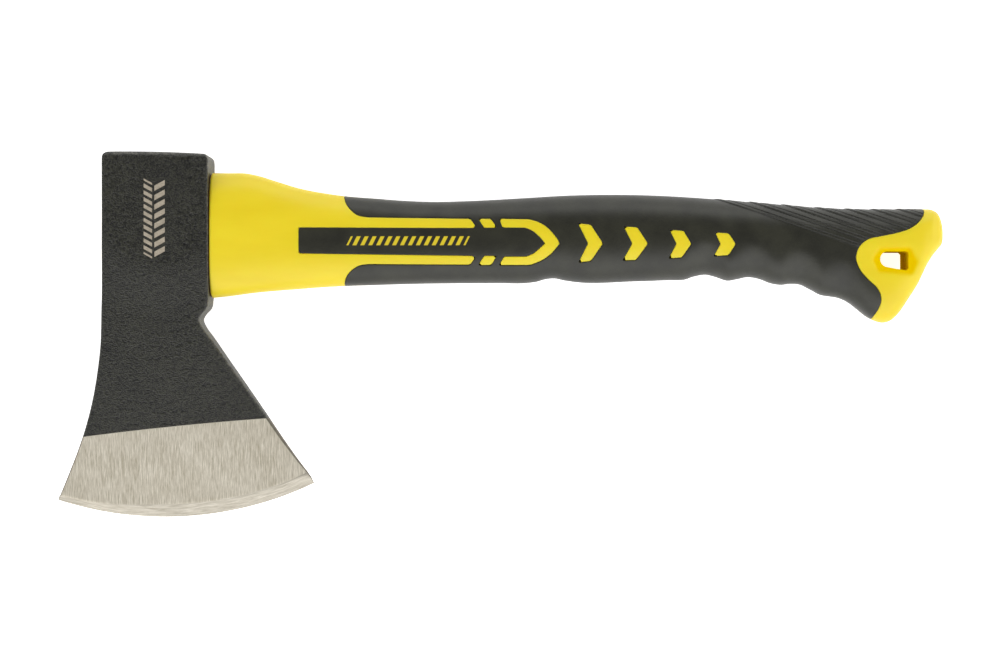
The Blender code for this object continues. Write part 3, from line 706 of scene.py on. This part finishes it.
sleeve_outline = np.vstack([
    curve_through(UPPER_WING), STRIPE_ENDS, STRIP_END, LOWER_STRIPE_END,
    curve_through(LOWER_WING), [(-63.5, -5.0)], curve_through(BUTT_CURVE),
    [(171.8, 65.0), (-63.6, 65.0)]])
hook_outline = np.vstack([
    [(-0.4, 46.4)], curve_through(HOOK_OUTSIDE), [(23.9, 36.3), (22.6, 34.6)],
    curve_through(HOOK_UNDERSIDE), [(-0.6, 27.55), (1.5, 30.95)],
    curve_through(HOOK_INSIDE_LOW), [(18.0, 36.3)], curve_through(HOOK_INSIDE_HIGH),
    [(0.8, 42.7)]])


def yellow_depth(xy):
    """Distance into the yellow moulding, in mm, and negative where the sleeve covers it."""
    depth = -inside_distance(sleeve_outline, xy)
    marks = [(loop, STRIPE_ROUNDING) for loop in (UPPER_SLASH, LOWER_SLASH, hook_outline)]
    marks += [(loop, CHEVRON_ROUNDING) for loop in CHEVRONS]
    for loop, rounding in marks:
        depth = np.maximum(depth, inside_distance(loop, xy, rounding))
    return depth


# The step for measuring slopes, how often and how far at most a point is moved onto a rim,
# and the least slopes that a move is worked out from.
PROBE = 0.01
MOVE_ROUNDS = 3
LARGEST_MOVE = 0.5
LEAST_SLOPE_SQUARE = 0.05
LEAST_RIM_SLOPE = 0.3


def field_slopes(field, x, t):
    """A field of distances at points of the surface, its slopes to one mm along x and round
    the section, and the mm of surface to one unit of t, each by a small step."""
    here = handle_surface(x, t)
    ahead = handle_surface(x, t + PROBE)
    value = field(here[..., :2])
    speed = np.maximum(np.linalg.norm(ahead - here, axis=-1) / PROBE, 1.0)
    by_x = (field(handle_surface(x + PROBE, t)[..., :2]) - value) / PROBE
    by_t = (field(ahead[..., :2]) - value) / PROBE / speed
    return value, by_x, by_t, speed


def divided_grid(field, level):
    """The handle's grid with its points moved onto one level of a field of distances.

    Each grid edge that crosses the level has its nearer end moved onto it, along the field's
    slope on the surface. The quads are then split into triangles along the diagonal that
    doesn't cross it, so every triangle lies on one side. Returns the points' x and t, the
    triangles, which of them are above the level, and which points lie on it."""
    x, t = np.meshgrid(stations, turns, indexing="ij")
    value = field(handle_surface(x, t)[..., :2]) - level
    on_level = np.zeros(value.shape, bool)
    for axis in (0, 1):
        other = np.roll(value, -1, axis=axis)
        crossing = value * other < 0
        if axis == 0:
            crossing[-1] = False
        nearer = np.abs(value) <= np.abs(other)
        on_level |= crossing & nearer
        on_level |= np.roll(crossing & ~nearer, 1, axis=axis)
    at_x, at_t = x[on_level], t[on_level]
    for _ in range(MOVE_ROUNDS):
        here, by_x, by_t, speed = field_slopes(field, at_x, at_t)
        gap = (here - level) / np.maximum(by_x**2 + by_t**2, LEAST_SLOPE_SQUARE)
        at_x = at_x - np.clip(gap * by_x, -LARGEST_MOVE, LARGEST_MOVE)
        at_t = at_t - np.clip(gap * by_t, -LARGEST_MOVE, LARGEST_MOVE) / speed
    x[on_level], t[on_level] = at_x, at_t
    value[on_level] = 0.0
    quads = grid_faces(*value.shape, wrap=True)
    corner = value.ravel()[quads]
    turned = corner[:, 0] * corner[:, 2] < 0
    quads[turned] = np.roll(quads[turned], 1, axis=1)
    triangles = np.vstack([quads[:, [0, 1, 2]], quads[:, [0, 2, 3]]])
    total = value.ravel()[triangles].sum(axis=1)
    flat = np.flatnonzero(total == 0)
    centre = handle_surface(x, t).reshape(-1, 3)[triangles[flat]].mean(axis=1)
    total[flat] = field(centre[:, :2]) - level
    return x.ravel(), t.ravel(), triangles, total > 0, on_level.ravel()


def open_edges(triangles, on_level):
    """Directed edges of the triangles that no other one shares and that lie on the level."""
    edges = np.vstack([triangles[:, [0, 1]], triangles[:, [1, 2]], triangles[:, [2, 0]]])
    size = triangles.max() + 1
    key = edges[:, 0] * size + edges[:, 1]
    alone = ~np.isin(edges[:, 1] * size + edges[:, 0], key)
    return edges[alone & on_level[edges].all(axis=1)]


def rolled_rim(x, t, field, level, rows):
    """Rows of points that turn the surface's rim down into the joint. Each row is how far past
    the level it lies and how deep, in mm; the rim moves down the field's slope."""
    _, by_x, by_t, speed = field_slopes(field, x, t)
    slope = -np.sign(level) * np.maximum(np.hypot(by_x, by_t), LEAST_RIM_SLOPE)
    rim = []
    for past, deep in rows:
        new_x = x + past * by_x / slope
        new_t = t + past * by_t / slope / speed
        rim.append(handle_surface(new_x, new_t) - deep * handle_normal(new_x, new_t))
    return rim


def joined(outer, outer_faces, edges, rim, inner):
    """Points and triangles of a surface with its rim strips added below its open edges.

    rim is a list of rows, each with one point for each of the edges' own points. The last row
    is joined to the points that inner gives the index of."""
    own = np.unique(edges)
    a, b = np.searchsorted(own, edges).T
    rows = [own]
    rows += [len(outer) + len(own) * i + np.arange(len(own)) for i in range(len(rim))]
    rows.append(inner)
    faces = [outer_faces]
    for above, below in zip(rows, rows[1:]):
        faces.append(np.column_stack([above[b], above[a], below[a]]))
        faces.append(np.column_stack([above[b], below[a], below[b]]))
    return np.vstack([outer, *rim]), np.vstack(faces)


# The joint line between the two mouldings: half its width, the rows of the rims that turn
# down into it as (mm past the rim, mm deep), and the thickness of the sleeve.
JOINT_MARGIN = 0.32
RIM_ROWS = [(0.12, 0.015), (0.2, 0.06), (0.26, 0.15), (0.28, 0.4)]
SLEEVE_WALL = 2.5

# THE YELLOW MOULDING
# First shot: a jacket of glossy yellow polypropylene moulded round the fibreglass core. It
# makes the tongue in the eye, the collar, the body under the sleeve, the marks that stand up
# through the sleeve's windows, and the butt with its hang hole.

TONGUE_HALF_HEIGHT = 20.3
TONGUE_HALF_WIDTH = 7.4
TONGUE_END = -160.2
CORE_CENTRE_Y = 38.6
CORE_HALF_HEIGHT = 9.0
CORE_HALF_WIDTH = 4.5
CORE_END = 118.0
CHANNEL_GAP = 0.3
CHANNEL_CHAMFER = 0.2
# Rows over the tongue's end: how far back, and how much smaller.
TONGUE_ROWS = [(0.0, 0.5), (0.15, 0.15), (0.5, 0.0)]
TONGUE_MIDDLE = -140.0
TONGUE_ROOT = HANDLE_START - 0.1
COLLAR_SHARES = (0.9, 0.975)
TIP_SHARES = (0.5, 0.0)
TIP_RISE = 0.05

# The hang hole: round at the front, with two cut corners at the back.
HOLE_CENTRE = np.array([156.4, 30.0])
HOLE_RADIUS = 3.2
HOLE_BACK = [(163.8, 25.4), (164.7, 26.3), (164.7, 32.4), (163.9, 33.2)]
HOLE_MIDDLE = HOLE_CENTRE + np.array([3.0, 0.0])
CUTTER_REACH = 20.0


def tongue_rings():
    """Rings from the bottom of the core's channel out to the tongue's end, over the tongue
    and up the collar's face, to meet the first ring of the handle's grid."""
    up, out = np.cos(turns), np.sin(turns)

    def oval(x, centre_y, high, wide):
        return np.column_stack([np.full(len(turns), x), centre_y + high * up, wide * out])

    high, wide = CORE_HALF_HEIGHT + CHANNEL_GAP, CORE_HALF_WIDTH + CHANNEL_GAP
    rings = [oval(CORE_END + CHANNEL_GAP, CORE_CENTRE_Y, 0.0, 0.0)]
    rings += [oval(x, CORE_CENTRE_Y, high, wide)
              for x in (CORE_END + CHANNEL_GAP, TONGUE_END + CHANNEL_CHAMFER)]
    rings.append(oval(TONGUE_END, CORE_CENTRE_Y, high + CHANNEL_CHAMFER, wide + CHANNEL_CHAMFER))
    rings += [oval(TONGUE_END + back, EYE_CENTRE_Y, TONGUE_HALF_HEIGHT - cut,
                   TONGUE_HALF_WIDTH - cut) for back, cut in TONGUE_ROWS]
    rings += [oval(x, EYE_CENTRE_Y, TONGUE_HALF_HEIGHT, TONGUE_HALF_WIDTH)
              for x in (TONGUE_MIDDLE, TONGUE_ROOT)]
    collar = handle_surface(np.full(len(turns), HANDLE_START), turns)
    centre = np.array([HANDLE_START, EYE_CENTRE_Y, 0.0])
    rings += [centre + (collar - centre) * share for share in COLLAR_SHARES]
    return np.array(rings)


def tip_rings():
    """Rings that close the butt's tip on the last ring of the handle's grid."""
    last = handle_surface(np.full(len(turns), HANDLE_END), turns)
    centre = last.mean(axis=0) + np.array([TIP_RISE, 0.0, 0.0])
    return np.array([centre + (last - centre) * share for share in TIP_SHARES])


def make_jacket():
    """The jacket as one closed mesh: yellow surface, rims, sunk body, tongue, tip and hole."""
    x, t, triangles, yellow, on_level = divided_grid(yellow_depth, JOINT_MARGIN)
    outer = handle_surface(x, t)
    sunk = handle_surface(x, t, SLEEVE_WALL)
    edges = open_edges(triangles[yellow], on_level)
    own = np.unique(edges)
    rim = rolled_rim(x[own], t[own], yellow_depth, JOINT_MARGIN, RIM_ROWS)
    count = len(outer)
    both = np.vstack([outer, sunk])
    body = triangles[~yellow] + count
    faces = np.vstack([triangles[yellow], body])
    points, faces = joined(both, faces, edges, rim, own + count)
    columns = len(turns)
    start = tongue_rings()
    base = len(points)
    points = np.vstack([points, start.reshape(-1, 3)])
    front = grid_faces(len(start), columns, wrap=True) + base
    joint = grid_faces(2, columns, wrap=True)
    lookup = np.concatenate([base + (len(start) - 1) * columns + np.arange(columns),
                             np.arange(columns)])
    end = tip_rings()
    base = len(points)
    points = np.vstack([points, end.reshape(-1, 3)])
    back = grid_faces(len(end), columns, wrap=True) + base
    last_ring = count - columns + np.arange(columns)
    end_lookup = np.concatenate([last_ring, base + np.arange(columns)])
    quads = np.vstack([front, lookup[joint], end_lookup[joint], back])
    faces = np.vstack([faces, quads[:, [0, 1, 2]], quads[:, [0, 2, 3]]])
    return points, faces


points, faces = make_jacket()
jacket = new_piece("yellow_jacket", points, faces)
hole_turn = np.radians(np.linspace(92, 262, 18))
hole_front = HOLE_CENTRE + HOLE_RADIUS * np.column_stack([np.cos(hole_turn), np.sin(hole_turn)])
hole_outline = np.vstack([hole_front, HOLE_BACK])
hole_cap = np.broadcast_to(HOLE_MIDDLE, hole_outline.shape)
hole_rings = [np.column_stack([outline, np.full(len(outline), z)])
              for outline, z in ((hole_cap, -CUTTER_REACH), (hole_outline, -CUTTER_REACH),
                                 (hole_outline, CUTTER_REACH), (hole_cap, CUTTER_REACH))]
hole_cutter = ringed_piece("hole_cutter", hole_rings)
cut_away(jacket, hole_cutter)
jacket.data.set_sharp_from_angle(angle=math.radians(42))

# How far each point lies in the recess and its hole, where painted shade deepens the colour and
# turns off the glint, and the roughness is lowered: from just outside its rim to part of the way
# down its slope.
SHADED_RECESS_RISE = (-0.2, 0.6 * RECESS_SLOPE)
place = np.empty(len(jacket.data.vertices) * 3, np.float32)
jacket.data.vertices.foreach_get("co", place)
place = place.reshape(-1, 3)[:, :2] / MM - np.array([0.0, drawing_y / MM])
sunk = smooth(*SHADED_RECESS_RISE, inside_distance(RECESS, place, RECESS_ROUNDING))
shaded_recess = jacket.data.attributes.new("shaded_recess", "FLOAT", "POINT")
shaded_recess.data.foreach_set("value", sunk.astype(np.float32))


def yellow_polypropylene():
    """Injection-moulded polypropylene, IOR about 1.49, satin: the tool's spark finish leaves a
    fine even grain, drawn 0.5 mm wide to show, and flow lines along the handle shift its tone
    and gloss a little. In the recess it is smoother, and painted shade deepens its colour and
    turns off its glint."""
    material, tree = new_material("yellow_polypropylene")
    mm = drawing_place(tree)
    flow = add(tree, "VectorMath", {0: mm, 1: (0.03, 0.11, 0.11)}, operation="MULTIPLY")
    clouds = add(tree, "TexNoise", {"Vector": flow, "Scale": 1.0, "Detail": 4.0,
                                    "Roughness": 0.55})
    grain = add(tree, "TexNoise", {"Vector": mm, "Scale": 2.2, "Detail": 2.0,
                                   "Roughness": 0.55})
    bump = add(tree, "Bump", {"Height": grain, "Strength": 0.12, "Distance": 0.0002})
    shaded_recess = add(tree, "Attribute", {}, attribute_name="shaded_recess").outputs["Fac"]
    rough = add(tree, "MapRange", {0: clouds, 3: 0.36, 4: 0.46})
    rough = add(tree, "Math", {0: shaded_recess, 1: -0.18, 2: rough}, operation="MULTIPLY_ADD")
    tone = two_tones(tree, clouds, 0.3, 0.7, "#e8cf1c", "#eed724")
    # Painted shade: in the recess the colour deepens, and the IOR falls to 1, which turns off its
    # glint.
    tone = add(tree, "Mix", {0: shaded_recess, 6: tone, 7: linear("#ebc800")}, data_type="RGBA")
    index = add(tree, "MapRange", {0: shaded_recess, 3: 1.49, 4: 1.0})
    shader = add(tree, "BsdfPrincipled", {
        "Base Color": tone.outputs[2], "IOR": index, "Roughness": rough, "Normal": bump,
        "Subsurface Weight": 0.25, "Subsurface Radius": (1.0, 0.55, 0.05),
        "Subsurface Scale": 0.004})
    add(tree, "OutputMaterial", {"Surface": shader})
    return material


jacket.data.materials.clear()
jacket.data.materials.append(yellow_polypropylene())
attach(jacket, "root")
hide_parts("handle_jacket")

# THE SOFT SLEEVE
# Second shot: a 2.5 mm sleeve of dark thermoplastic rubber moulded over the jacket, with
# windows for its marks, finger lobes below, and slanted overlapping ridges over the back of
# the butt, where the heel of the hand lies.

RIDGE_SLANT = math.radians(19.0)
RIDGE_START = 79.95
RIDGE_PITCH = 3.35
RIDGE_HEIGHT = 0.36
RIDGE_ZONE = (80.0, 90.0)
# Places in one pitch: where a ridge has risen to its crest, and its fine groove.
RIDGE_CREST = 0.14
RIDGE_GROOVE = 0.36
GROOVE_HALF_WIDTH = 0.12
GROOVE_DEPTH = 0.14
FIRST_RIDGE = (-0.02, 0.02)
RIM_FREE = 0.9
INNER_GAP = 0.3


def ridge_height(points):
    """Saw-tooth ridges across lines that run down and back: each steps up along its line,
    fades away to the next one, and has a fine groove beside its crest."""
    across = points[..., 1] * math.cos(RIDGE_SLANT) + points[..., 0] * math.sin(RIDGE_SLANT)
    turn = (across - RIDGE_START) / RIDGE_PITCH
    place = np.mod(turn, 1.0)
    tooth = (1.0 - place) * smooth(0.0, RIDGE_CREST, place)
    groove = smooth(GROOVE_HALF_WIDTH, 0.0, np.abs(place - RIDGE_GROOVE))
    zone = smooth(*FIRST_RIDGE, turn) * smooth(*RIDGE_ZONE, points[..., 0])
    return (RIDGE_HEIGHT * tooth - GROOVE_DEPTH * groove) * zone


def make_sleeve():
    """The sleeve as one closed mesh: outer surface, rims, and inner surface facing the core."""
    x, t, triangles, yellow, on_level = divided_grid(yellow_depth, -JOINT_MARGIN)
    black = triangles[~yellow]
    edges = open_edges(black, on_level)
    own = np.unique(edges)
    rim = rolled_rim(x[own], t[own], yellow_depth, -JOINT_MARGIN, RIM_ROWS)
    outer = handle_surface(x, t)
    depth = -yellow_depth(outer[..., :2]) - JOINT_MARGIN
    lift = ridge_height(outer) * smooth(0.0, RIM_FREE, depth)
    outer = outer + lift[:, None] * handle_normal(x, t)
    inner = handle_surface(x, t, SLEEVE_WALL - INNER_GAP)
    count = len(outer)
    used = np.unique(black)
    both = np.vstack([outer, inner])
    faces = np.vstack([black, black[:, ::-1] + count])
    points, faces = joined(both, faces, edges, rim, own + count)
    keep = np.zeros(len(points), bool)
    keep[used] = keep[used + count] = True
    keep[2 * count:] = True
    rank = np.cumsum(keep) - 1
    return points[keep], rank[faces]


points, faces = make_sleeve()
sleeve = new_piece("soft_sleeve", points, faces)
sleeve.data.set_sharp_from_angle(angle=math.radians(42))

PRINT_CENTRE = (-37.2, 37.4)
PRINT_HALF_LENGTH = 24.0
PRINT_HALF_HEIGHT = 1.8
PRINT_PITCH = 3.2
PRINT_LEAN = -0.5
PRINT_FILL = 0.5
# Creases at the foot of each ridge and in its groove, darkened with painted shade: place and half
# width in a pitch.
CREASES = [(0.0, 0.12), (RIDGE_GROOVE, 0.1)]
CREASES_START = -0.04


def dark_rubber():
    """Moulded thermoplastic rubber, IOR about 1.5, dark warm grey and nearly matt, with the
    tool's 0.5 mm stipple. A row of plain slanted dashes is pad-printed in yellow on the strip."""
    material, tree = new_material("dark_rubber")
    mm = drawing_place(tree)
    x, y, _ = add(tree, "SeparateXYZ", {0: mm}).outputs
    stipple = add(tree, "TexNoise", {"Vector": mm, "Scale": 2.0, "Detail": 3.0,
                                     "Roughness": 0.6})
    bump = add(tree, "Bump", {"Height": stipple, "Strength": 0.3, "Distance": 0.0002})

    # Pitches across the ridges, and the creases between them.
    across = (math.sin(RIDGE_SLANT) / RIDGE_PITCH, math.cos(RIDGE_SLANT) / RIDGE_PITCH, 0.0)
    turn = add(tree, "VectorMath", {0: mm, 1: across}, operation="DOT_PRODUCT").outputs["Value"]
    turn = add(tree, "Math", {0: turn, 1: RIDGE_START / RIDGE_PITCH}, operation="SUBTRACT")
    crease_and_shade = 0.0
    for at, half_width in CREASES:
        beside = add(tree, "Math", {0: turn, 1: at}, operation="SUBTRACT")
        off = add(tree, "Math", {0: beside, 1: 0.5}, operation="PINGPONG")
        line = add(tree, "MapRange", {0: off, 1: half_width, 2: 0.0})
        crease_and_shade = add(tree, "Math", {0: crease_and_shade, 1: line}, operation="MAXIMUM")
    started = add(tree, "Math", {0: turn, 1: CREASES_START}, operation="GREATER_THAN")
    zone = add(tree, "MapRange", {0: x, 1: RIDGE_ZONE[0], 2: RIDGE_ZONE[1]})
    ridged = add(tree, "Math", {0: started, 1: zone}, operation="MULTIPLY")
    crease_and_shade = add(tree, "Math", {0: crease_and_shade, 1: ridged}, operation="MULTIPLY")
    bump = add(tree, "Bump", {"Height": crease_and_shade, "Strength": 1.0, "Distance": 0.00035,
                              "Normal": bump}, invert=True)

    # The film's tone, the print on the strip, and painted shade in the creases.
    clouds = add(tree, "TexNoise", {"Vector": mm, "Scale": 0.09, "Detail": 4.0,
                                    "Roughness": 0.55})
    film = add(tree, "Math", {0: stipple, 1: 0.35, 2: clouds}, operation="MULTIPLY_ADD")
    tone = two_tones(tree, film, 0.52, 0.82, "#212119", "#2e2e24")
    to_right = add(tree, "Math", {0: x, 1: PRINT_CENTRE[0]}, operation="SUBTRACT")
    to_top = add(tree, "Math", {0: y, 1: PRINT_CENTRE[1]}, operation="SUBTRACT")
    printed = hatched(tree, to_top, to_right, PRINT_HALF_HEIGHT, PRINT_HALF_LENGTH, PRINT_PITCH,
                      PRINT_LEAN, PRINT_FILL)
    tone = add(tree, "Mix", {0: printed, 6: tone, 7: linear("#dac22a")}, data_type="RGBA")
    # Painted shade: the creases' colour is darkened towards near black.
    crease_shade = add(tree, "Math", {0: crease_and_shade, 1: 0.55}, operation="MULTIPLY")
    tone = add(tree, "Mix", {0: crease_shade, 6: tone.outputs[2], 7: linear("#060605")},
               data_type="RGBA")
    shader = add(tree, "BsdfPrincipled", {"Base Color": tone.outputs[2], "Roughness": 0.37,
                                          "IOR": 1.5, "Normal": bump})
    add(tree, "OutputMaterial", {"Surface": shader})
    return material


sleeve.data.materials.clear()
sleeve.data.materials.append(dark_rubber())
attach(sleeve, "root")
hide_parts("grip_overmould")

# THE FIBREGLASS CORE
# An oval bar of pultruded glass fibre in resin, sawn off flush at the top of the eye, where
# its cut end shows.

CORE_START = -160.0
SAWN_CHAMFER = 0.3
SAWN_CHAMFER_LENGTH = 0.2
core = oval_piece("glass_fibre_core", [
    (CORE_START, 0.0, 0.0),
    (CORE_START, CORE_HALF_HEIGHT - SAWN_CHAMFER, CORE_HALF_WIDTH - SAWN_CHAMFER),
    (CORE_START + SAWN_CHAMFER_LENGTH, CORE_HALF_HEIGHT, CORE_HALF_WIDTH),
    (CORE_END, CORE_HALF_HEIGHT, CORE_HALF_WIDTH),
    (CORE_END, 0.0, 0.0)], CORE_CENTRE_Y)
core.data.set_sharp_from_angle(angle=math.radians(30))


def sawn_glass_fibre():
    """Pultruded glass fibre in polyester: pale green-yellow, with 0.5 mm bundles of fibre end
    on and saw marks across them."""
    material, tree = new_material("sawn_glass_fibre")
    mm = drawing_place(tree)
    along_fibre = add(tree, "VectorMath", {0: mm, 1: (0.03, 1.0, 1.0)}, operation="MULTIPLY")
    bundles = add(tree, "TexVoronoi", {"Vector": along_fibre, "Scale": 2.2})
    across_saw = add(tree, "VectorMath", {0: mm, 1: (1.0, 0.15, 1.0)}, operation="MULTIPLY")
    saw = add(tree, "TexNoise", {"Vector": across_saw, "Scale": 1.4, "Detail": 3.0,
                                 "Roughness": 0.55})
    height = add(tree, "Math", {0: saw, 1: 0.8, 2: bundles}, operation="MULTIPLY_ADD")
    bump = add(tree, "Bump", {"Height": height, "Strength": 0.4, "Distance": 0.0003})
    shader = add(tree, "BsdfPrincipled", {
        "Base Color": two_tones(tree, bundles, 0.0, 1.0, "#d8cf9a", "#9c9158"),
        "Roughness": 0.6, "IOR": 1.55, "Normal": bump})
    add(tree, "OutputMaterial", {"Surface": shader})
    return material


core.data.materials.clear()
core.data.materials.append(sawn_glass_fibre())
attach(core, "root")
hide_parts("fibreglass_core")

# THE EPOXY IN THE EYE
# Poured epoxy that bonds the tongue into the eye. It shows as an amber ring at the top of the
# eye, dished between the two walls, and as a thin bead squeezed out round the collar.

RESIN_GAP = 0.3
RESIN_TOP = HEAD_LEFT + 0.6
# The dish of its top: share of the way from the tongue to the eye, and mm below the top.
DISH = [(0.0, 0.15), (0.12, 0.5), (0.35, 0.85), (0.65, 0.85), (0.88, 0.5), (1.0, 0.1)]


def resin_rings():
    """Rings of the resin: its dished top, its outer wall against the eye, its lower end and
    its inner wall against the tongue."""
    high, wide = TONGUE_HALF_HEIGHT + RESIN_GAP, TONGUE_HALF_WIDTH + RESIN_GAP
    to_eye_high = EYE_HALF_HEIGHT * EYE_FLARE - RESIN_GAP - high
    to_eye_wide = EYE_HALF_WIDTH * EYE_FLARE - RESIN_GAP - wide
    rings = [(RESIN_TOP + sink, high + share * to_eye_high, wide + share * to_eye_wide)
             for share, sink in DISH]
    rings.append((EYE_MOUTH - RESIN_GAP, EYE_HALF_HEIGHT - RESIN_GAP, EYE_HALF_WIDTH - RESIN_GAP))
    rings.append((EYE_MOUTH - RESIN_GAP, high, wide))
    rings.append(rings[0])
    return rings


resin = oval_piece("eye_epoxy", resin_rings(), EYE_CENTRE_Y)
resin.data.set_sharp_from_angle(angle=math.radians(50))


BEAD_RADIUS = 0.32
BEAD_STEPS = 10
BEAD_SINK = 0.12
BEAD_BACK = 0.05
BEAD_WOBBLE = 0.25


def bead_rings():
    """A thin bead round the collar: a small circle carried round the collar's section, its
    radius across the section wavering as a product of two sines."""
    collar = handle_surface(np.full(len(turns), HANDLE_START), turns)
    outward = collar - np.array([HANDLE_START, EYE_CENTRE_Y, 0.0])
    outward /= np.linalg.norm(outward, axis=1)[:, None]
    radius = BEAD_RADIUS * (1 + BEAD_WOBBLE * np.sin(5 * turns + 0.7) * np.sin(11 * turns))
    rings = []
    for around in np.linspace(0.0, 2 * math.pi, BEAD_STEPS, endpoint=False):
        ring = collar + outward * (radius * math.cos(around) - BEAD_SINK)[:, None]
        ring[:, 0] += BEAD_RADIUS * math.sin(around) - BEAD_BACK
        rings.append(ring)
    return [*rings, rings[0]]


bead = ringed_piece("collar_epoxy_bead", bead_rings())


def cast_epoxy():
    """Cast epoxy, IOR about 1.55: glossy dark amber, cloudy with filler and slightly uneven."""
    material, tree = new_material("cast_epoxy")
    clouds = add(tree, "TexNoise", {"Vector": drawing_place(tree), "Scale": 0.5, "Detail": 3.0,
                                    "Roughness": 0.55})
    bump = add(tree, "Bump", {"Height": clouds, "Strength": 0.2, "Distance": 0.0003})
    shader = add(tree, "BsdfPrincipled", {
        "Base Color": two_tones(tree, clouds, 0.35, 0.7, "#3a2506", "#6b470c"),
        "Roughness": 0.22, "IOR": 1.55, "Normal": bump})
    add(tree, "OutputMaterial", {"Surface": shader})
    return material


epoxy = cast_epoxy()
for piece in (resin, bead):
    piece.data.materials.clear()
    piece.data.materials.append(epoxy)
    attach(piece, "root")
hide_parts("eye_resin")

# THE STUDIO
# White paper on a table inside a light tent, with a long weak soft box on each side of the
# handle. The camera looks straight down from a metre above the middle of the hatchet.

FLOOR_SIZE = 6.0
FLOOR_GAP = 0.0003
PAPER_GLOW = 0.3
BACKDROP_LIFT = 0.85
side = FLOOR_SIZE / 2
floor_mesh = bpy.data.meshes.new("studio_floor")
floor_mesh.from_pydata([(-side, -side, 0), (side, -side, 0), (side, side, 0), (-side, side, 0)],
                       [], [(0, 1, 2, 3)])
floor = bpy.data.objects.new("studio_floor", floor_mesh)
floor.location.z = cad_low.z - FLOOR_GAP
bpy.context.scene.collection.objects.link(floor)


def white_paper():
    """Matt white background paper, faintly mottled. It glows a little with the light that comes
    through it, and is lifted to pure white where it is seen directly, as a backdrop is."""
    material, tree = new_material("white_paper")
    mottle = add(tree, "TexNoise", {"Vector": drawing_place(tree), "Scale": 0.04, "Detail": 2.0,
                                    "Roughness": 0.55})
    paper = add(tree, "BsdfPrincipled", {
        "Base Color": two_tones(tree, mottle, 0.0, 1.0, "#f4f4f3", "#fafafa"),
        "Roughness": 0.95})
    seen = add(tree, "LightPath", {}).outputs["Is Camera Ray"]
    strength = add(tree, "MapRange", {0: seen, 3: PAPER_GLOW, 4: BACKDROP_LIFT})
    lift = add(tree, "Emission", {"Strength": strength})
    shader = add(tree, "AddShader", {0: paper, 1: lift})
    add(tree, "OutputMaterial", {"Surface": shader})
    return material


floor.data.materials.append(white_paper())


def soft_box(name, place, size, power):
    """Rectangular area light at place, facing the middle of the table; place and size are in
    metres and power in watts."""
    data = bpy.data.lights.new(name, "AREA")
    data.shape = "RECTANGLE"
    data.size, data.size_y = size
    data.energy = power
    box = bpy.data.objects.new(name, data)
    box.location = place
    box.rotation_euler = box.location.to_track_quat("Z", "Y").to_euler()
    box.visible_camera = False
    bpy.context.scene.collection.objects.link(box)


soft_box("near_box", (0.0, -0.95, 0.95), (2.2, 0.75), 0.45)
soft_box("far_box", (0.0, 1.15, 0.62), (2.2, 0.5), 0.2)

WALL_LIGHT = 1.41
CEILING_LIGHT = 0.1
FAR_WALL_GAIN = 0.07
LONG_WALL_GAIN = 0.62
RIGHT_WALL_GAIN = 0.3
CEILING_TILT = math.radians(16.0)
# Cosines of the angles off the ceiling's axis between which it gives way to the walls, and
# the height below which they dim, down to this share at the table.
CEILING_EDGE = (0.70, 0.88)
WALL_FOOT = 0.4
FOOT_SHARE = 0.4


def light_tent():
    """The tent's light by direction: a dim ceiling round the camera, leaning to the far side,
    then bright walls from 28 to 46 degrees off it, brighter by the square of y along the
    handle's two sides and a little by x towards the butt, and dimmer again down to the table.
    It is plain white where the camera itself sees it past the table."""
    sky = bpy.data.worlds.new("light_tent")
    sky.use_nodes = True
    tree = sky.node_tree
    tree.nodes.clear()
    toward = add(tree, "NewGeometry", {}).outputs["Position"]
    x, y, z = add(tree, "SeparateXYZ", {0: toward}).outputs
    side_gain = add(tree, "Math", {0: y, 1: LONG_WALL_GAIN, 2: FAR_WALL_GAIN},
                    operation="MULTIPLY_ADD")
    ends = add(tree, "Math", {0: x, 1: RIGHT_WALL_GAIN, 2: WALL_LIGHT},
               operation="MULTIPLY_ADD")
    wall = add(tree, "Math", {0: side_gain, 1: y, 2: ends}, operation="MULTIPLY_ADD")
    lowered = add(tree, "MapRange", {0: z, 1: 0.0, 2: WALL_FOOT, 3: FOOT_SHARE, 4: 1.0})
    wall = add(tree, "Math", {0: wall, 1: lowered}, operation="MULTIPLY")
    axis = (0.0, math.sin(CEILING_TILT), math.cos(CEILING_TILT))
    near_axis = add(tree, "VectorMath", {0: toward, 1: axis}, operation="DOT_PRODUCT")
    ceiling = add(tree, "MapRange", {0: near_axis.outputs["Value"], 1: CEILING_EDGE[0],
                                     2: CEILING_EDGE[1]}, interpolation_type="SMOOTHSTEP")
    light = add(tree, "Mix", {0: ceiling, 2: wall, 3: CEILING_LIGHT})
    seen = add(tree, "LightPath", {}).outputs["Is Camera Ray"]
    strength = add(tree, "Mix", {0: seen, 2: light, 3: 1.0})
    backdrop = add(tree, "Background", {"Color": (1.0, 1.0, 1.0, 1.0), "Strength": strength})
    add(tree, "OutputWorld", {"Surface": backdrop})
    return sky


bpy.context.scene.world = light_tent()

CAMERA_HEIGHT = 1.0
CAMERA_X = -0.00016
VIEW_WIDTH = 0.4078
SENSOR_WIDTH = 36.0
camera_data = bpy.data.cameras.new("camera")
camera_data.sensor_width = SENSOR_WIDTH
camera_data.lens = SENSOR_WIDTH * CAMERA_HEIGHT / VIEW_WIDTH
camera = bpy.data.objects.new("camera", camera_data)
camera.location = (CAMERA_X, drawing_y, middle_z + CAMERA_HEIGHT)
bpy.context.scene.collection.objects.link(camera)
bpy.context.scene.camera = camera
bpy.context.scene.view_settings.view_transform = "Standard"
